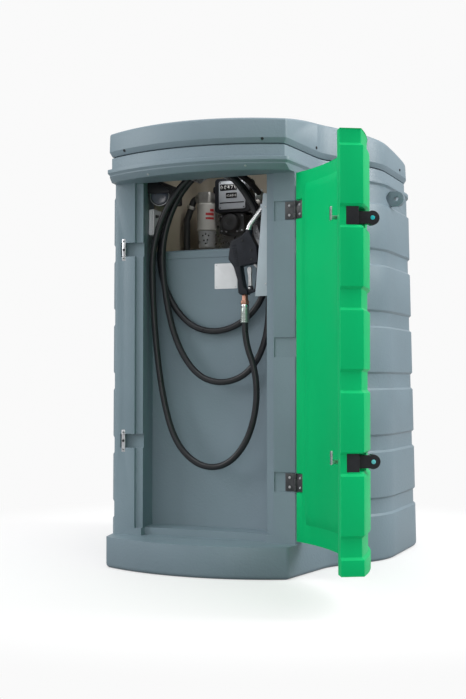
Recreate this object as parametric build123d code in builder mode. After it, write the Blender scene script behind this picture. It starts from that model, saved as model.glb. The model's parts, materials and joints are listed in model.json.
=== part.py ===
"""Bunded diesel fuel tank: a moulded outer bund with a bowed cabinet door, an inner tank, a lid,
and the pump, filter, meter, hose and nozzle that stand in the cabinet.

Frame: origin on the floor, on the plane of symmetry, at mid depth. X runs across the front, Y runs
from the cabinet to the rear, Z is up. The door is drawn shut and then swung open."""

import os
from math import asin, degrees, pi, radians, sqrt, tan

from build123d import *

os.makedirs("parts", exist_ok=True)

# Driving dimensions, in millimetres and degrees
# Plan of the bund at the floor and at its top: half widths across X, places along Y
front_half = 398.0
front_y = -630.0
bow_depth = 95.0
waist_floor = (466.0, -293.0)
waist_top = (440.0, -275.0)
shoulder_floor = (650.0, -18.0)
shoulder_top = (622.0, 20.0)
rear_floor = (676.0, 725.0)
rear_top = (648.0, 708.0)
front_corner_radius = 22.0
waist_radius = 250.0
shoulder_radius = 330.0
rear_radius = 320.0
least_inset = 0.01

# Heights of the bund and its bands
bund_wall = 8.0
plinth_top = 127.0
first_band_top = 193.0
band_pitch = 268.6
band_height = 190.0
band_count = 5
band_relief = 9.0
band_shoulder = 9.0
lip_bottom = 1600.0
lip_height = 48.0
lip_edge = 14.0
lip_proud = 18.0
lintel_cove = 34.0
cove_height = 23.0
collar_top = 1697.0
upstand_top = 1703.0
upstand_inset = 32.0

# Cabinet recess
post_face_y = -550.0
rebate_half = 308.0
rebate_depth = 15.0
mouth_half = 276.0
back_half = 297.0
sill_y = -515.0
sill_top = 157.0
back_y = -400.0
divider_top = 1317.0
divider_roll = 11.0
divider_band = 24.0
divider_proud = 4.0
pocket_height = 78.0
pocket_depth = 5.0
post_ease = 4.0

# Lifting eyes on the rear shoulders
eye_place = (650.0, 140.0, 1582.0)
eye_radius = 33.0
eye_hole = 9.5
eye_thickness = 28.0
eye_scoop = 40.0
eye_scoop_length = 165.0
eye_scoop_x = 640.0

# Lid, whose crown is part of a large sphere
lid_inset = 8.0
lid_top = 1888.0
lid_crown_radius = 3030.0
lid_wall = 8.0
lid_edge = 11.0
lid_flange = 38.0
lid_draft = 5.0
lid_tuck = 12.0
lid_tuck_height = 20.0

# Door
door_bottom = 141.0
door_top = 1593.0
door_thickness = 69.0
door_wall = 8.0
door_gap = 6.0
door_strip = 46.0
door_free_half = 394.0
door_hinge_half = 399.0
door_raise = 17.0
door_raise_ends = (-306.0, 336.0)
door_raise_bottom = (72.0, 50.0)
door_raise_top = (50.0, 38.0)
door_raise_slope = 22.0
door_raise_notch = (-262.0, 40.0)
door_open = 118.8
hinge_x = 402.0
hinge_y = -553.0

# Hinges
hinge_heights = {"upper": 1447.0, "lower": 370.0}
hinge_height = 70.0
hinge_pin_radius = 4.0
hinge_barrel_radius = 6.5
hinge_leaf = 3.0
hinge_play = 0.25
seat_play = 3.0
hinge_knuckle_share = 0.31
hinge_leaf_width = 44.0
bare_pocket_z = 904.0

# Latches
latch_heights = {"upper": 1308.0, "lower": 505.0}
latch_x = -330.0
housing_width = 78.0
housing_half = 30.0
housing_proud = 3.0
boss_radius = 15.0
knob_thickness = 26.0
knob_reach = 62.0
knob_half = 30.0
knob_edge = 4.0
knob_clear = 5.0
spindle_radius = 7.0
bolt_length = 46.0
bolt_width = 20.0
bolt_thickness = 5.0
strike_x = -368.0
strike_width = 16.0
strike_lift = 14.0
latch_pocket_low = -15.0
latch_pocket_high = 43.0
latch_pocket_depth = 28.0
strike_height = 92.0
strike_thickness = 3.0
button_radius = 8.0
button_proud = 2.5

# Inner tank
tank_wall = 6.0
tank_inset = 62.0
tank_front_y = -372.0
tank_top = 1650.0
well_half = 300.0
well_back_y = 118.0
well_floor = 1262.0
well_corner = 60.0

# Dispensing set
meter_centre = (-26.0, -120.0, 1597.0)
meter_size = (168.0, 64.0, 152.0)
meter_face = (126.0, 126.0)
pump_centre = (-43.0, -60.0, 1476.0)
pump_size = (118.0, 110.0, 84.0)
motor_radius = 41.0
motor_length = 34.0
filter_x = -163.0
filter_y = -118.0
filter_head_size = (70.0, 76.0, 50.0)
filter_head_z = 1594.0
canister_radius = 45.0
canister_bottom = 1444.0
bowl_radius = 40.0
bowl_bottom = 1366.0
bracket_thickness = 5.0
bracket_x = (-216.0, 62.0)
bracket_top = 1640.0
bracket_foot = 90.0
pipe_radius = 15.0
reset_radius = 16.0
reset_length = 16.0
reset_rise = 32.0
motor_edge = 5.0
meter_edge = 14.0
face_edge = 8.0
face_proud = 6.0
head_edge = 16.0
outlet_offset = 20.0
outlet_radius = 24.0
suction_knees = [(-226.0, 1594.0), (-262.0, 1500.0)]
suction_bend = 25.0
seat = 0.3

# Left wall fittings
gauge_size = (24.0, 116.0, 112.0)
gauge_centre = (-287.0 + 12.0, -404.0, 1447.0)
gauge_edge = 8.0
hood_size = (40.0, 270.0, 78.0)
hood_centre = (-286.0 + 20.0, -335.0, 1590.0)
hood_edge = 10.0

# Nozzle, hose and hook
nozzle_y = -500.0
hose_diameter = 26.5
nozzle_inlet = (168.0, 1121.0)
nozzle_depth = 42.0
nozzle_edge = 5.0
body_outline = [
    (151, 1121), (185, 1121), (185, 1134), (172, 1150), (164, 1185), (156, 1236), (231, 1250),
    (226, 1312), (194, 1373), (172, 1373), (112, 1339), (103, 1266), (126, 1235), (143, 1180),
]
spout_route = [(183, 1373), (183, 1396), (258, 1490)]
spout_radius = 11.0
spout_bend = 60.0
trigger_outline = [(184, 1140), (199, 1140), (196, 1235), (184, 1234)]
trigger_pivot = (191.0, 1146.0)
trigger_width = 12.0
trigger_play = 3.3
guard_outline = [
    (185.3, 1123), (220, 1137), (229, 1186), (231.2, 1249.3), (223.2, 1247.7), (221, 1188), (213, 1143),
    (185.3, 1131),
]
guard_width = 20.0
cheek_outline = [(186, 1125), (203, 1133), (201, 1156), (184, 1156)]
cheek_width = 3.0
swivel_radius = 17.0
ferrule_radius = 18.0
ferrule_length = 34.0
elbow_bend = 24.0
hose_bend = 0.45
hook_radius = 108.0
hook_thickness = 6.0
hook_depth = 140.0
hook_cut = 75.0
hook_top = 1655.0

# Holster plate on the right wall, in the plane of the nozzle
holster_outline = [(259, 1525), (275.7, 1525), (275.7, 1111), (225, 1111)]
holster_front = -533.5
holster_sheet = 6.0
holster_return = (-485.0, 1380.0)
holster_rest = ((246, 262), (1466, 1484))

# A length beyond every piece, for cuts that pass right through
reach = 900.0


def save(part, name):
    """Labels a finished piece and writes it under its own name."""
    part.label = name
    export_step(part, f"parts/{name}.step")


def between(low, high, z):
    """A point of the plan at a height, between its places at the floor and at the top."""
    share = z / collar_top
    return tuple(a + (b - a) * share for a, b in zip(low, high))


def outline(z, inset=0.0):
    """The bund's outline in plan at a height: bowed front, flared waist and rounded rear."""
    waist = between(waist_floor, waist_top, z)
    shoulder = between(shoulder_floor, shoulder_top, z)
    rear = between(rear_floor, rear_top, z)
    radii = [waist_radius, shoulder_radius, rear_radius]
    with BuildSketch(Plane.XY.offset(z)) as plan:
        with BuildLine():
            FilletPolyline((front_half, front_y), waist, shoulder, rear, (0, rear[1]), radius=radii)
            mirrored = [(-x, y) for x, y in ((front_half, front_y), waist, shoulder, rear)]
            FilletPolyline(*mirrored, (0, rear[1]), radius=radii)
            ThreePointArc(mirrored[0], (0, front_y - bow_depth), (front_half, front_y))
        make_face()
        corners = plan.vertices().filter_by(lambda v: abs(v.Y - front_y) < 1 and abs(v.X) > 1)
        fillet(corners, front_corner_radius)
        # Every level is offset, so that all have the same edges in the same order
        offset(amount=-max(inset, least_inset), mode=Mode.REPLACE)
    return plan.sketch.face()


def band_levels():
    """Heights and insets of the wall, band by band from the floor to the collar."""
    levels = [(0.0, 0.0), (first_band_top, 0.0), (first_band_top + band_shoulder, band_relief)]
    for band in range(1, band_count + 1):
        top = first_band_top + band * band_pitch
        bottom = top - band_height
        levels += [(bottom - band_shoulder, band_relief), (bottom, 0.0)]
        levels += [(top, 0.0), (top + band_shoulder, band_relief)]
    tip = lip_bottom + lip_height
    levels += [(tip - lip_edge - band_shoulder, band_relief), (tip - lip_edge, 0.0), (tip, 0.0)]
    levels += [(tip + band_shoulder / 2, lip_proud), (collar_top, lip_proud)]
    return levels


bow_radius = (front_half**2 + bow_depth**2) / (2 * bow_depth)
bow_centre_y = front_y - bow_depth + bow_radius


def bow_y(x, inset):
    """Where the front's bow lies at a place across it, drawn in by an inset."""
    return bow_centre_y - sqrt((bow_radius - inset) ** 2 - x**2)


def bowed_plan(left, right, outer, inner, z=0.0):
    """Plan of a stretch of the bow between two insets, at a height."""
    middle = (left + right) / 2
    with BuildSketch(Plane.XY.offset(z)) as plan:
        with BuildLine():
            ThreePointArc(
                (left, bow_y(left, outer)), (middle, bow_y(middle, outer)), (right, bow_y(right, outer))
            )
            Line((right, bow_y(right, outer)), (right, bow_y(right, inner)))
            ThreePointArc(
                (right, bow_y(right, inner)), (middle, bow_y(middle, inner)), (left, bow_y(left, inner))
            )
            Line((left, bow_y(left, inner)), (left, bow_y(left, outer)))
        make_face()
    return plan.sketch


def cove(wall=0.0):
    """What is cut away under the lip, so that it overhangs the lintel and the top of the door."""
    end = front_half + reach / 20
    with BuildPart() as cut:
        for z, depth in ((lip_bottom - 1, lintel_cove), (lip_bottom + cove_height, band_relief - 3)):
            with BuildSketch(Plane.XY.offset(z + wall)):
                add(bowed_plan(-end, end, -reach / 20, depth + wall))
        loft(ruled=True)
    return cut.part


def scoop(side, wall=0.0):
    """Hollow in the shoulder in front of and behind a lifting eye, deepest at the eye."""
    x, y, z = eye_scoop_x, eye_place[1], eye_place[2]
    with BuildPart() as hollow:
        for turn in (-1, 1):
            with BuildSketch(Plane.XY) as half:
                with BuildLine():
                    Polyline(
                        (side * x, y),
                        (side * x + eye_scoop + wall, y),
                        (side * x, y + turn * (eye_scoop_length + wall)),
                        close=True,
                    )
                make_face()
            revolve(axis=Axis((side * x, y, 0), (0, 1, 0)))
    return hollow.part.moved(Location((0, 0, z)))


def recess_plan(front, grow=0.0):
    """Plan of the cabinet recess between the posts, wider at its back than at its mouth."""
    with BuildSketch() as plan:
        with BuildLine():
            Polyline(
                (-mouth_half - grow, front),
                (-mouth_half - grow, post_face_y + rebate_depth),
                (-back_half - grow, back_y + grow),
                (back_half + grow, back_y + grow),
                (mouth_half + grow, post_face_y + rebate_depth),
                (mouth_half + grow, front),
                close=True,
            )
        make_face()
    return plan.sketch


def eased_edge(side, wall=0.0):
    """Plan of what is cut off a post's outer edge at 45 degrees, so that the open door's end clears it."""
    start = hinge_x - post_ease - wall * sqrt(2)
    length = 80
    with BuildSketch() as plan:
        with BuildLine():
            Polyline(
                (side * start, post_face_y - 1),
                (side * (start + length), post_face_y - 1),
                (side * (start + length), post_face_y - 1 + length),
                close=True,
            )
        make_face()
    return plan.sketch


def slab(x, y, z):
    """A plain block given by its low and high ends along each axis."""
    with BuildPart() as block:
        with Locations(((x[0] + x[1]) / 2, (y[0] + y[1]) / 2, (z[0] + z[1]) / 2)):
            Box(x[1] - x[0], y[1] - y[0], z[1] - z[0])
    return block.part


# Bund: one moulding, its wall the same thickness round the bands, the posts and the recess
outer_levels = band_levels()
inner_levels = [(bund_wall, bund_wall)]
inner_levels += [(z, inset + bund_wall) for z, inset in outer_levels[1:-1]]
inner_levels += [
    (collar_top - bund_wall, lip_proud + bund_wall),
    (collar_top, upstand_inset + bund_wall),
    (upstand_top, upstand_inset + bund_wall),
]

with BuildPart() as bund_inside:
    loft([outline(z, inset) for z, inset in inner_levels], ruled=True)
    # The wall turns in round the door space, the posts and the recess
    add(
        slab(
            (-reach, reach),
            (-reach, post_face_y + bund_wall),
            (plinth_top - bund_wall, lip_bottom + bund_wall),
        ),
        mode=Mode.SUBTRACT,
    )
    add(
        slab(
            (-rebate_half - bund_wall, rebate_half + bund_wall),
            (post_face_y, post_face_y + rebate_depth + bund_wall),
            (plinth_top - bund_wall, lip_bottom + bund_wall),
        ),
        mode=Mode.SUBTRACT,
    )
    add(
        slab(
            (-mouth_half - bund_wall, mouth_half + bund_wall),
            (post_face_y, sill_y + bund_wall),
            (plinth_top - bund_wall, sill_top + bund_wall),
        ),
        mode=Mode.SUBTRACT,
    )
    add(cove(bund_wall), mode=Mode.SUBTRACT)
    for side in (-1, 1):
        add(scoop(side, bund_wall), mode=Mode.SUBTRACT)
    with BuildSketch(Plane.XY.offset(plinth_top - bund_wall)):
        for side in (-1, 1):
            add(eased_edge(side, bund_wall))
    extrude(amount=lip_bottom - plinth_top + 2 * bund_wall, mode=Mode.SUBTRACT)
    with BuildSketch(Plane.XY.offset(sill_top - bund_wall)):
        add(recess_plan(post_face_y, bund_wall))
    extrude(amount=reach * 2, mode=Mode.SUBTRACT)
    for z in latch_heights.values():
        add(
            slab(
                (strike_x - 6 - bund_wall, -mouth_half),
                (post_face_y, post_face_y + latch_pocket_depth + bund_wall),
                (z + latch_pocket_low - bund_wall, z + latch_pocket_high + bund_wall),
            ),
            mode=Mode.SUBTRACT,
        )

with BuildPart() as bund_moulding:
    loft([outline(z, inset) for z, inset in outer_levels], ruled=True)
    loft(
        [outline(collar_top, upstand_inset), outline(upstand_top, upstand_inset)],
        ruled=True,
    )
    add(bund_inside.part, mode=Mode.SUBTRACT)
    # Space that the shut door fills
    add(slab((-reach, reach), (-reach, post_face_y), (plinth_top, lip_bottom)), mode=Mode.SUBTRACT)
    with BuildSketch(Plane.XY.offset(plinth_top)):
        for side in (-1, 1):
            add(eased_edge(side))
    extrude(amount=lip_bottom - plinth_top, mode=Mode.SUBTRACT)
    # Recess between the posts, with its sill, and its back wall open above the divider
    with BuildSketch(Plane.XY.offset(sill_top)):
        add(recess_plan(post_face_y - 1))
    extrude(amount=lip_bottom - sill_top, mode=Mode.SUBTRACT)
    with BuildSketch(Plane.XY.offset(lip_bottom)):
        add(recess_plan(post_face_y + bund_wall))
    extrude(amount=reach, mode=Mode.SUBTRACT)
    add(
        slab(
            (-rebate_half, rebate_half),
            (post_face_y - 1, post_face_y + rebate_depth),
            (sill_top, lip_bottom),
        ),
        mode=Mode.SUBTRACT,
    )
    add(
        slab((-back_half, back_half), (back_y - 1, back_y + bund_wall), (divider_top, 2 * reach)),
        mode=Mode.SUBTRACT,
    )
    # Front of the plinth's top steps up to the sill behind the posts' faces
    add(
        slab((-mouth_half, mouth_half), (post_face_y - 1, sill_y), (plinth_top, sill_top + 1)),
        mode=Mode.SUBTRACT,
    )
    # Pockets for the latch bolts, with seats for their strike plates
    for z in latch_heights.values():
        add(
            slab(
                (strike_x - 6, -mouth_half + 1),
                (post_face_y - 1, post_face_y + latch_pocket_depth),
                (z + latch_pocket_low, z + latch_pocket_high),
            ),
            mode=Mode.SUBTRACT,
        )
        add(
            slab(
                (strike_x, strike_x + strike_width),
                (post_face_y - 1, post_face_y + strike_thickness),
                (z + strike_lift - strike_height / 2, z + strike_lift + strike_height / 2),
            ),
            mode=Mode.SUBTRACT,
        )
    # Shallow pockets for the hinges
    for z in (*hinge_heights.values(), bare_pocket_z):
        add(
            slab(
                (rebate_half + 4, reach),
                (post_face_y - 1, post_face_y + pocket_depth),
                (z - pocket_height / 2, z + pocket_height / 2),
            ),
            mode=Mode.SUBTRACT,
        )
    # Rolled edge and flat band along the divider
    with BuildSketch(Plane.YZ):
        with Locations((back_y + bund_wall - 2, divider_top)):
            Circle(divider_roll)
    extrude(amount=back_half, both=True)
    add(
        slab(
            (-back_half, back_half),
            (back_y - divider_proud, back_y + 1),
            (divider_top - divider_band, divider_top),
        )
    )
    # Cove under the lip, and the lifting eyes in their scoops
    add(cove(), mode=Mode.SUBTRACT)
    for side in (-1, 1):
        add(scoop(side), mode=Mode.SUBTRACT)
        root = side * (eye_place[0] - 2.2 * eye_radius)
        with BuildSketch(Plane.XZ.offset(-eye_place[1] - eye_thickness / 2)):
            with Locations((side * eye_place[0], eye_place[2])):
                Circle(eye_radius)
            with Locations(((side * eye_place[0] + root) / 2, eye_place[2])):
                Rectangle(abs(eye_place[0]) - abs(root), 2 * eye_radius)
        extrude(amount=eye_thickness)
        with BuildSketch(Plane.XZ.offset(-eye_place[1] - eye_thickness / 2)):
            with Locations((side * eye_place[0], eye_place[2])):
                Circle(eye_hole)
        extrude(amount=eye_thickness, mode=Mode.SUBTRACT)

save(bund_moulding.part, "bund_moulding")


# Lid: a crowned cap whose flange rests on the upstand, leaving a shadow gap above the collar
def lid_form(bottom_inset, wall):
    """The lid's outer form, or its inside when drawn in by the wall."""
    side_bottom = upstand_top + lid_tuck_height
    with BuildPart() as form:
        loft(
            [
                outline(upstand_top + wall, lid_inset + bottom_inset + wall),
                outline(side_bottom, lid_inset + wall),
                outline(lid_top, lid_inset + lid_draft + wall),
            ],
            ruled=True,
        )
        with Locations((0, 0, lid_top - lid_crown_radius)):
            Sphere(lid_crown_radius - wall, mode=Mode.INTERSECT)
    return form.part


with BuildPart() as lid:
    add(lid_form(lid_tuck, 0))
    fillet(lid.faces().sort_by(Axis.Z)[-1].edges(), lid_edge)
    add(lid_form(lid_tuck, lid_wall), mode=Mode.SUBTRACT)
    loft(
        [outline(z, lid_inset + lid_flange) for z in (upstand_top - 1, upstand_top + lid_wall + 1)],
        ruled=True,
        mode=Mode.SUBTRACT,
    )
save(lid.part, "lid")


# Inner tank: a closed shell with a well at its front, in which the pump stands
def tank_form(shrink):
    """The inner tank's outer form, or its inside when shrunk by the wall."""
    with BuildPart() as form:
        loft([outline(z, tank_inset + shrink) for z in (bund_wall + shrink, tank_top - shrink)], ruled=True)
        add(
            slab((-reach, reach), (-reach, tank_front_y + shrink), (-reach, 2 * reach + reach)),
            mode=Mode.SUBTRACT,
        )
        with BuildSketch(Plane.XY.offset(well_floor - shrink)):
            with Locations((0, (tank_front_y - reach + well_back_y + shrink) / 2)):
                RectangleRounded(
                    2 * (well_half + shrink), well_back_y + shrink - tank_front_y + reach, well_corner + shrink
                )
        extrude(amount=reach, mode=Mode.SUBTRACT)
    return form.part


with BuildPart() as inner_tank:
    add(tank_form(0))
    add(tank_form(tank_wall), mode=Mode.SUBTRACT)
save(inner_tank.part, "inner_tank")


# Door, drawn shut: a hollow bowed panel with the bund's bands on its skin
def swing(part):
    """Swings a piece drawn with the door shut to where the door stands open."""
    return part.rotate(Axis((hinge_x, hinge_y, 0), (0, 0, 1)), door_open)


strip_y = post_face_y - door_gap
band_tops = [first_band_top + band * band_pitch for band in range(band_count + 1)]
# The latch housings follow the bow, in notches open to the door's free end
housing_low = -door_free_half + band_relief
housing_high = housing_low + housing_width
housing_front_inset = band_relief - housing_proud
housing_back_inset = door_thickness - 2 * door_wall
boss_y = bow_y(latch_x + knob_half, housing_front_inset) - knob_clear
# The door's hinge leaves lie along its inner skin, which slopes there
hinge_slope = degrees(asin((hinge_x - hinge_leaf_width / 2) / (bow_radius - door_thickness)))


def raised_field(shrink=0.0):
    """The raised field of the door's inner face, or the hollow behind it when shrunk by the wall."""
    low, high = door_bottom + door_raise_bottom[0], door_top - door_raise_top[0]
    foot, head = door_raise_bottom[1], door_raise_top[1]
    left, right = door_raise_ends
    outer = door_thickness - 1 - shrink
    steps = (
        (low + shrink, 0.0, 1.0),
        (low + foot + shrink, door_raise_slope, door_raise),
        (high - head - shrink, door_raise_slope, door_raise),
        (high - shrink, 0.0, 1.0),
    )
    with BuildPart() as field:
        loft(
            [
                bowed_plan(
                    left + slope + shrink, right - slope - shrink, outer - 10, door_thickness + rise - shrink, z
                ).face()
                for z, slope, rise in steps
            ],
            ruled=True,
        )
        for z in latch_heights.values():
            side, half = door_raise_notch
            add(
                slab((-reach, side + shrink), (-reach, reach), (z - half - shrink, z + half + shrink)),
                mode=Mode.SUBTRACT,
            )
    return field.part


def hinge_seat(z, grow=0.0):
    """Seat of a hinge's door leaf, along the sloping inner skin, grown for the wall behind it."""
    half = pocket_height / 2 + grow
    edge = -hinge_leaf_width - seat_play - grow
    seat_block = slab((edge, reach), (-pocket_depth - grow, reach), (z - half, z + half))
    return seat_block.rotate(Axis.Z, hinge_slope).moved(Location((hinge_x, hinge_y, 0)))


with BuildPart() as door_inside:
    with BuildSketch(Plane.XY.offset(door_bottom + door_wall)):
        add(
            bowed_plan(
                -door_free_half + band_relief + door_wall,
                door_hinge_half - door_wall,
                band_relief + door_wall,
                door_thickness - door_wall,
            )
        )
    extrude(amount=door_top - door_bottom - 2 * door_wall)
    add(raised_field(door_wall))
    for z in hinge_heights.values():
        add(hinge_seat(z, door_wall), mode=Mode.SUBTRACT)
    for z in latch_heights.values():
        half = housing_half + door_wall
        add(
            slab((-reach, housing_high + door_wall), (-reach, reach), (z - half, z + half)),
            mode=Mode.SUBTRACT,
        )

with BuildPart() as door_moulding:
    with BuildSketch(Plane.XY.offset(door_bottom)):
        add(bowed_plan(-door_free_half, door_hinge_half, 0, door_thickness))
        # Flat strip down the free end, which meets the post
        low, high = -door_free_half, -door_free_half + door_strip
        with BuildLine():
            Polyline(
                (low, bow_y(low, door_thickness / 2)),
                (high, bow_y(high, door_thickness / 2)),
                (high, strip_y),
                (low, strip_y),
                close=True,
            )
        make_face()
    extrude(amount=door_top - door_bottom)
    add(slab((-reach, reach), (strip_y, reach), (0, 2 * reach)), mode=Mode.SUBTRACT)
    add(raised_field())
    # Grooves between the bands, turned about the axis of the bow, run on round the free end
    for top in band_tops:
        groove_end = min(top + band_pitch - band_height, lip_bottom)
        with BuildSketch(Plane.XZ.offset(-bow_centre_y)):
            with BuildLine():
                Polyline(
                    (bow_radius - band_relief, top + band_shoulder),
                    (bow_radius + band_relief, top - band_shoulder),
                    (bow_radius + band_relief, groove_end + band_shoulder),
                    (bow_radius - band_relief, groove_end - band_shoulder),
                    close=True,
                )
            make_face()
        revolve(axis=Axis((0, bow_centre_y, 0), (0, 0, 1)), mode=Mode.SUBTRACT)
        with BuildSketch(Plane.XZ.offset(-strip_y - 1)):
            with BuildLine():
                Polyline(
                    (-door_free_half + band_relief, top + band_shoulder),
                    (-door_free_half - band_relief, top - band_shoulder),
                    (-door_free_half - band_relief, groove_end + band_shoulder),
                    (-door_free_half + band_relief, groove_end - band_shoulder),
                    close=True,
                )
            make_face()
        extrude(amount=2 * door_thickness, mode=Mode.SUBTRACT)
    add(door_inside.part, mode=Mode.SUBTRACT)
    # Seats for the hinge leaves, with room for the barrels
    for z in hinge_heights.values():
        add(hinge_seat(z), mode=Mode.SUBTRACT)
        with BuildSketch(Plane.XY.offset(z - pocket_height / 2)):
            with Locations((hinge_x, hinge_y)):
                Circle(hinge_barrel_radius + 2)
        extrude(amount=pocket_height, mode=Mode.SUBTRACT)
    # Notches for the latch housings and holes for their spindles
    for z in latch_heights.values():
        with BuildSketch(Plane.XY.offset(z - housing_half - seat)):
            add(bowed_plan(-reach / 2, housing_high + seat, -band_relief, housing_back_inset + seat))
        extrude(amount=2 * (housing_half + seat), mode=Mode.SUBTRACT)
        with BuildSketch(Plane.XZ):
            with Locations((latch_x, z)):
                Circle(spindle_radius + 0.5)
        extrude(amount=reach, mode=Mode.SUBTRACT)
save(swing(door_moulding.part), "door_moulding")


# Hinges: a post leaf and a door leaf that share one pin
def hinge_leaf_part(z, side, knuckles):
    """One leaf with its knuckles. Side is 1 on the post and -1 on the door."""
    with BuildPart() as leaf:
        if side > 0:
            seat_y = post_face_y + pocket_depth - hinge_y
            low, high = seat_y - hinge_leaf, seat_y
        else:
            low, high = -pocket_depth, -pocket_depth + hinge_leaf
        add(
            slab(
                (-hinge_leaf_width, -hinge_barrel_radius - 1),
                (low, high),
                (-hinge_height / 2, hinge_height / 2),
            )
        )
        for bottom, top in knuckles:
            with BuildSketch(Plane.XY.offset(bottom)):
                Circle(hinge_barrel_radius)
            extrude(amount=top - bottom)
            add(slab((-hinge_barrel_radius - 2, 0), (min(low, 0), max(high, 0)), (bottom, top)))
        with BuildSketch(Plane.XY.offset(-hinge_height)):
            Circle(hinge_pin_radius + (0 if side > 0 else hinge_play))
        extrude(amount=2 * hinge_height, mode=Mode.SUBTRACT)
    turned = leaf.part if side > 0 else leaf.part.rotate(Axis.Z, hinge_slope)
    return turned.moved(Location((hinge_x, hinge_y, z)))


knuckle = hinge_height * hinge_knuckle_share
outer_knuckles = [(-hinge_height / 2, -hinge_height / 2 + knuckle), (hinge_height / 2 - knuckle, hinge_height / 2)]
inner_knuckles = [(-hinge_height / 2 + knuckle + seat, hinge_height / 2 - knuckle - seat)]
for name, z in hinge_heights.items():
    save(hinge_leaf_part(z, 1, outer_knuckles), f"{name}_hinge_post_leaf")
    save(swing(hinge_leaf_part(z, -1, inner_knuckles)), f"{name}_hinge_door_leaf")
    with BuildPart() as hinge_pin:
        with BuildSketch(Plane.XY.offset(z - hinge_height / 2)):
            with Locations((hinge_x, hinge_y)):
                Circle(hinge_pin_radius)
        extrude(amount=hinge_height)
    save(hinge_pin.part, f"{name}_hinge_pin")

# Latches: a paddle knob in a housing, a spindle through the door and a bolt that turns behind the strike
bolt_y = post_face_y + strike_thickness + 6
knob_seat_y = boss_y - seat
knob_round_y = bow_y(latch_x, band_relief) - knob_reach + knob_half
knob_side_x = latch_x - knob_thickness / 2
for name, z in latch_heights.items():
    with BuildPart() as housing:
        with BuildSketch(Plane.XY.offset(z - housing_half)):
            add(bowed_plan(housing_low, housing_high, housing_front_inset, housing_back_inset))
        extrude(amount=2 * housing_half)
        with BuildSketch(Plane.XZ.offset(-boss_y)):
            with Locations((latch_x, z)):
                Circle(boss_radius)
        extrude(amount=-2 * boss_radius)
        with BuildSketch(Plane.XZ.offset(0)):
            with Locations((latch_x, z)):
                Circle(spindle_radius + seat)
        extrude(amount=reach, mode=Mode.SUBTRACT)
    save(swing(housing.part), f"{name}_latch_housing")
    with BuildPart() as knob:
        with BuildSketch(Plane.YZ.offset(knob_side_x)):
            with Locations((knob_round_y, z)):
                Circle(knob_half)
            with Locations(((knob_round_y + knob_seat_y) / 2, z)):
                Rectangle(knob_seat_y - knob_round_y, 2 * knob_half)
        extrude(amount=knob_thickness)
        add(slab((-reach, 0), (knob_seat_y, reach), (0, 2 * reach)), mode=Mode.SUBTRACT)
        fillet(knob.faces().filter_by(Axis.X).edges(), knob_edge)
        with BuildSketch(Plane.YZ.offset(knob_side_x)):
            with Locations((knob_round_y, z)):
                Circle(button_radius + seat)
        extrude(amount=knob_edge, mode=Mode.SUBTRACT)
    save(swing(knob.part), f"{name}_latch_knob")
    with BuildPart() as button:
        with BuildSketch(Plane.YZ.offset(knob_side_x - button_proud)):
            with Locations((knob_round_y, z)):
                Circle(button_radius)
        extrude(amount=button_proud + knob_edge)
    save(swing(button.part), f"{name}_latch_button")
    with BuildPart() as bolt:
        with BuildSketch(Plane.XZ.offset(-knob_seat_y)):
            with Locations((latch_x, z)):
                Circle(spindle_radius)
        extrude(amount=-(bolt_y + bolt_thickness - knob_seat_y))
        with BuildSketch(Plane.XZ.offset(-bolt_y)):
            with Locations((latch_x, z + bolt_length / 2 - bolt_width / 2)):
                RectangleRounded(bolt_width, bolt_length, 4)
        extrude(amount=-bolt_thickness)
    save(swing(bolt.part), f"{name}_latch_bolt")
    with BuildPart() as strike:
        add(
            slab(
                (strike_x, strike_x + strike_width),
                (post_face_y, post_face_y + strike_thickness),
                (z + strike_lift - strike_height / 2, z + strike_lift + strike_height / 2),
            )
        )
    save(strike.part, f"{name}_strike_plate")

# Dispensing set
bracket_y = pump_centre[1] + pump_size[1] / 2
with BuildPart() as pump_bracket:
    add(slab(bracket_x, (bracket_y, bracket_y + bracket_thickness), (well_floor, bracket_top)))
    add(slab(bracket_x, (bracket_y - bracket_foot, bracket_y), (well_floor, well_floor + bracket_thickness)))
save(pump_bracket.part, "pump_bracket")

with BuildPart() as pump_body:
    with Locations(pump_centre):
        Box(*pump_size)
    pump_top = pump_centre[2] + pump_size[2] / 2
    with BuildSketch(Plane.XY.offset(pump_top)):
        with Locations((meter_centre[0], meter_centre[1] + outlet_offset)):
            Circle(outlet_radius)
    extrude(amount=meter_centre[2] - meter_size[2] / 2 - pump_top)
save(pump_body.part, "pump_body")

with BuildPart() as pump_motor:
    with BuildSketch(Plane.XZ.offset(-(pump_centre[1] - pump_size[1] / 2))):
        with Locations((pump_centre[0], pump_centre[2])):
            Circle(motor_radius)
    extrude(amount=motor_length)
    fillet(pump_motor.faces().sort_by(Axis.Y)[0].edges(), motor_edge)
save(pump_motor.part, "pump_motor")

with BuildPart() as flow_meter:
    with Locations(meter_centre):
        Box(*meter_size)
    fillet(flow_meter.edges().filter_by(Axis.Y), meter_edge)
    # Reset knob on the housing's left side
    with BuildSketch(Plane.YZ.offset(meter_centre[0] - meter_size[0] / 2 - reset_length)):
        with Locations((meter_centre[1], meter_centre[2] + reset_rise)):
            Circle(reset_radius)
    extrude(amount=reset_length)
save(flow_meter.part, "flow_meter")

meter_front = meter_centre[1] - meter_size[1] / 2
with BuildPart() as meter_face_plate:
    with BuildSketch(Plane.XZ.offset(-meter_front)):
        with Locations((meter_centre[0], meter_centre[2])):
            RectangleRounded(*meter_face, face_edge)
    extrude(amount=face_proud)
save(meter_face_plate.part, "meter_face")

with BuildPart() as filter_head:
    with Locations((filter_x, filter_y, filter_head_z)):
        Box(*filter_head_size)
    fillet(filter_head.edges().filter_by(Axis.Z), head_edge)
save(filter_head.part, "filter_head")

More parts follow.
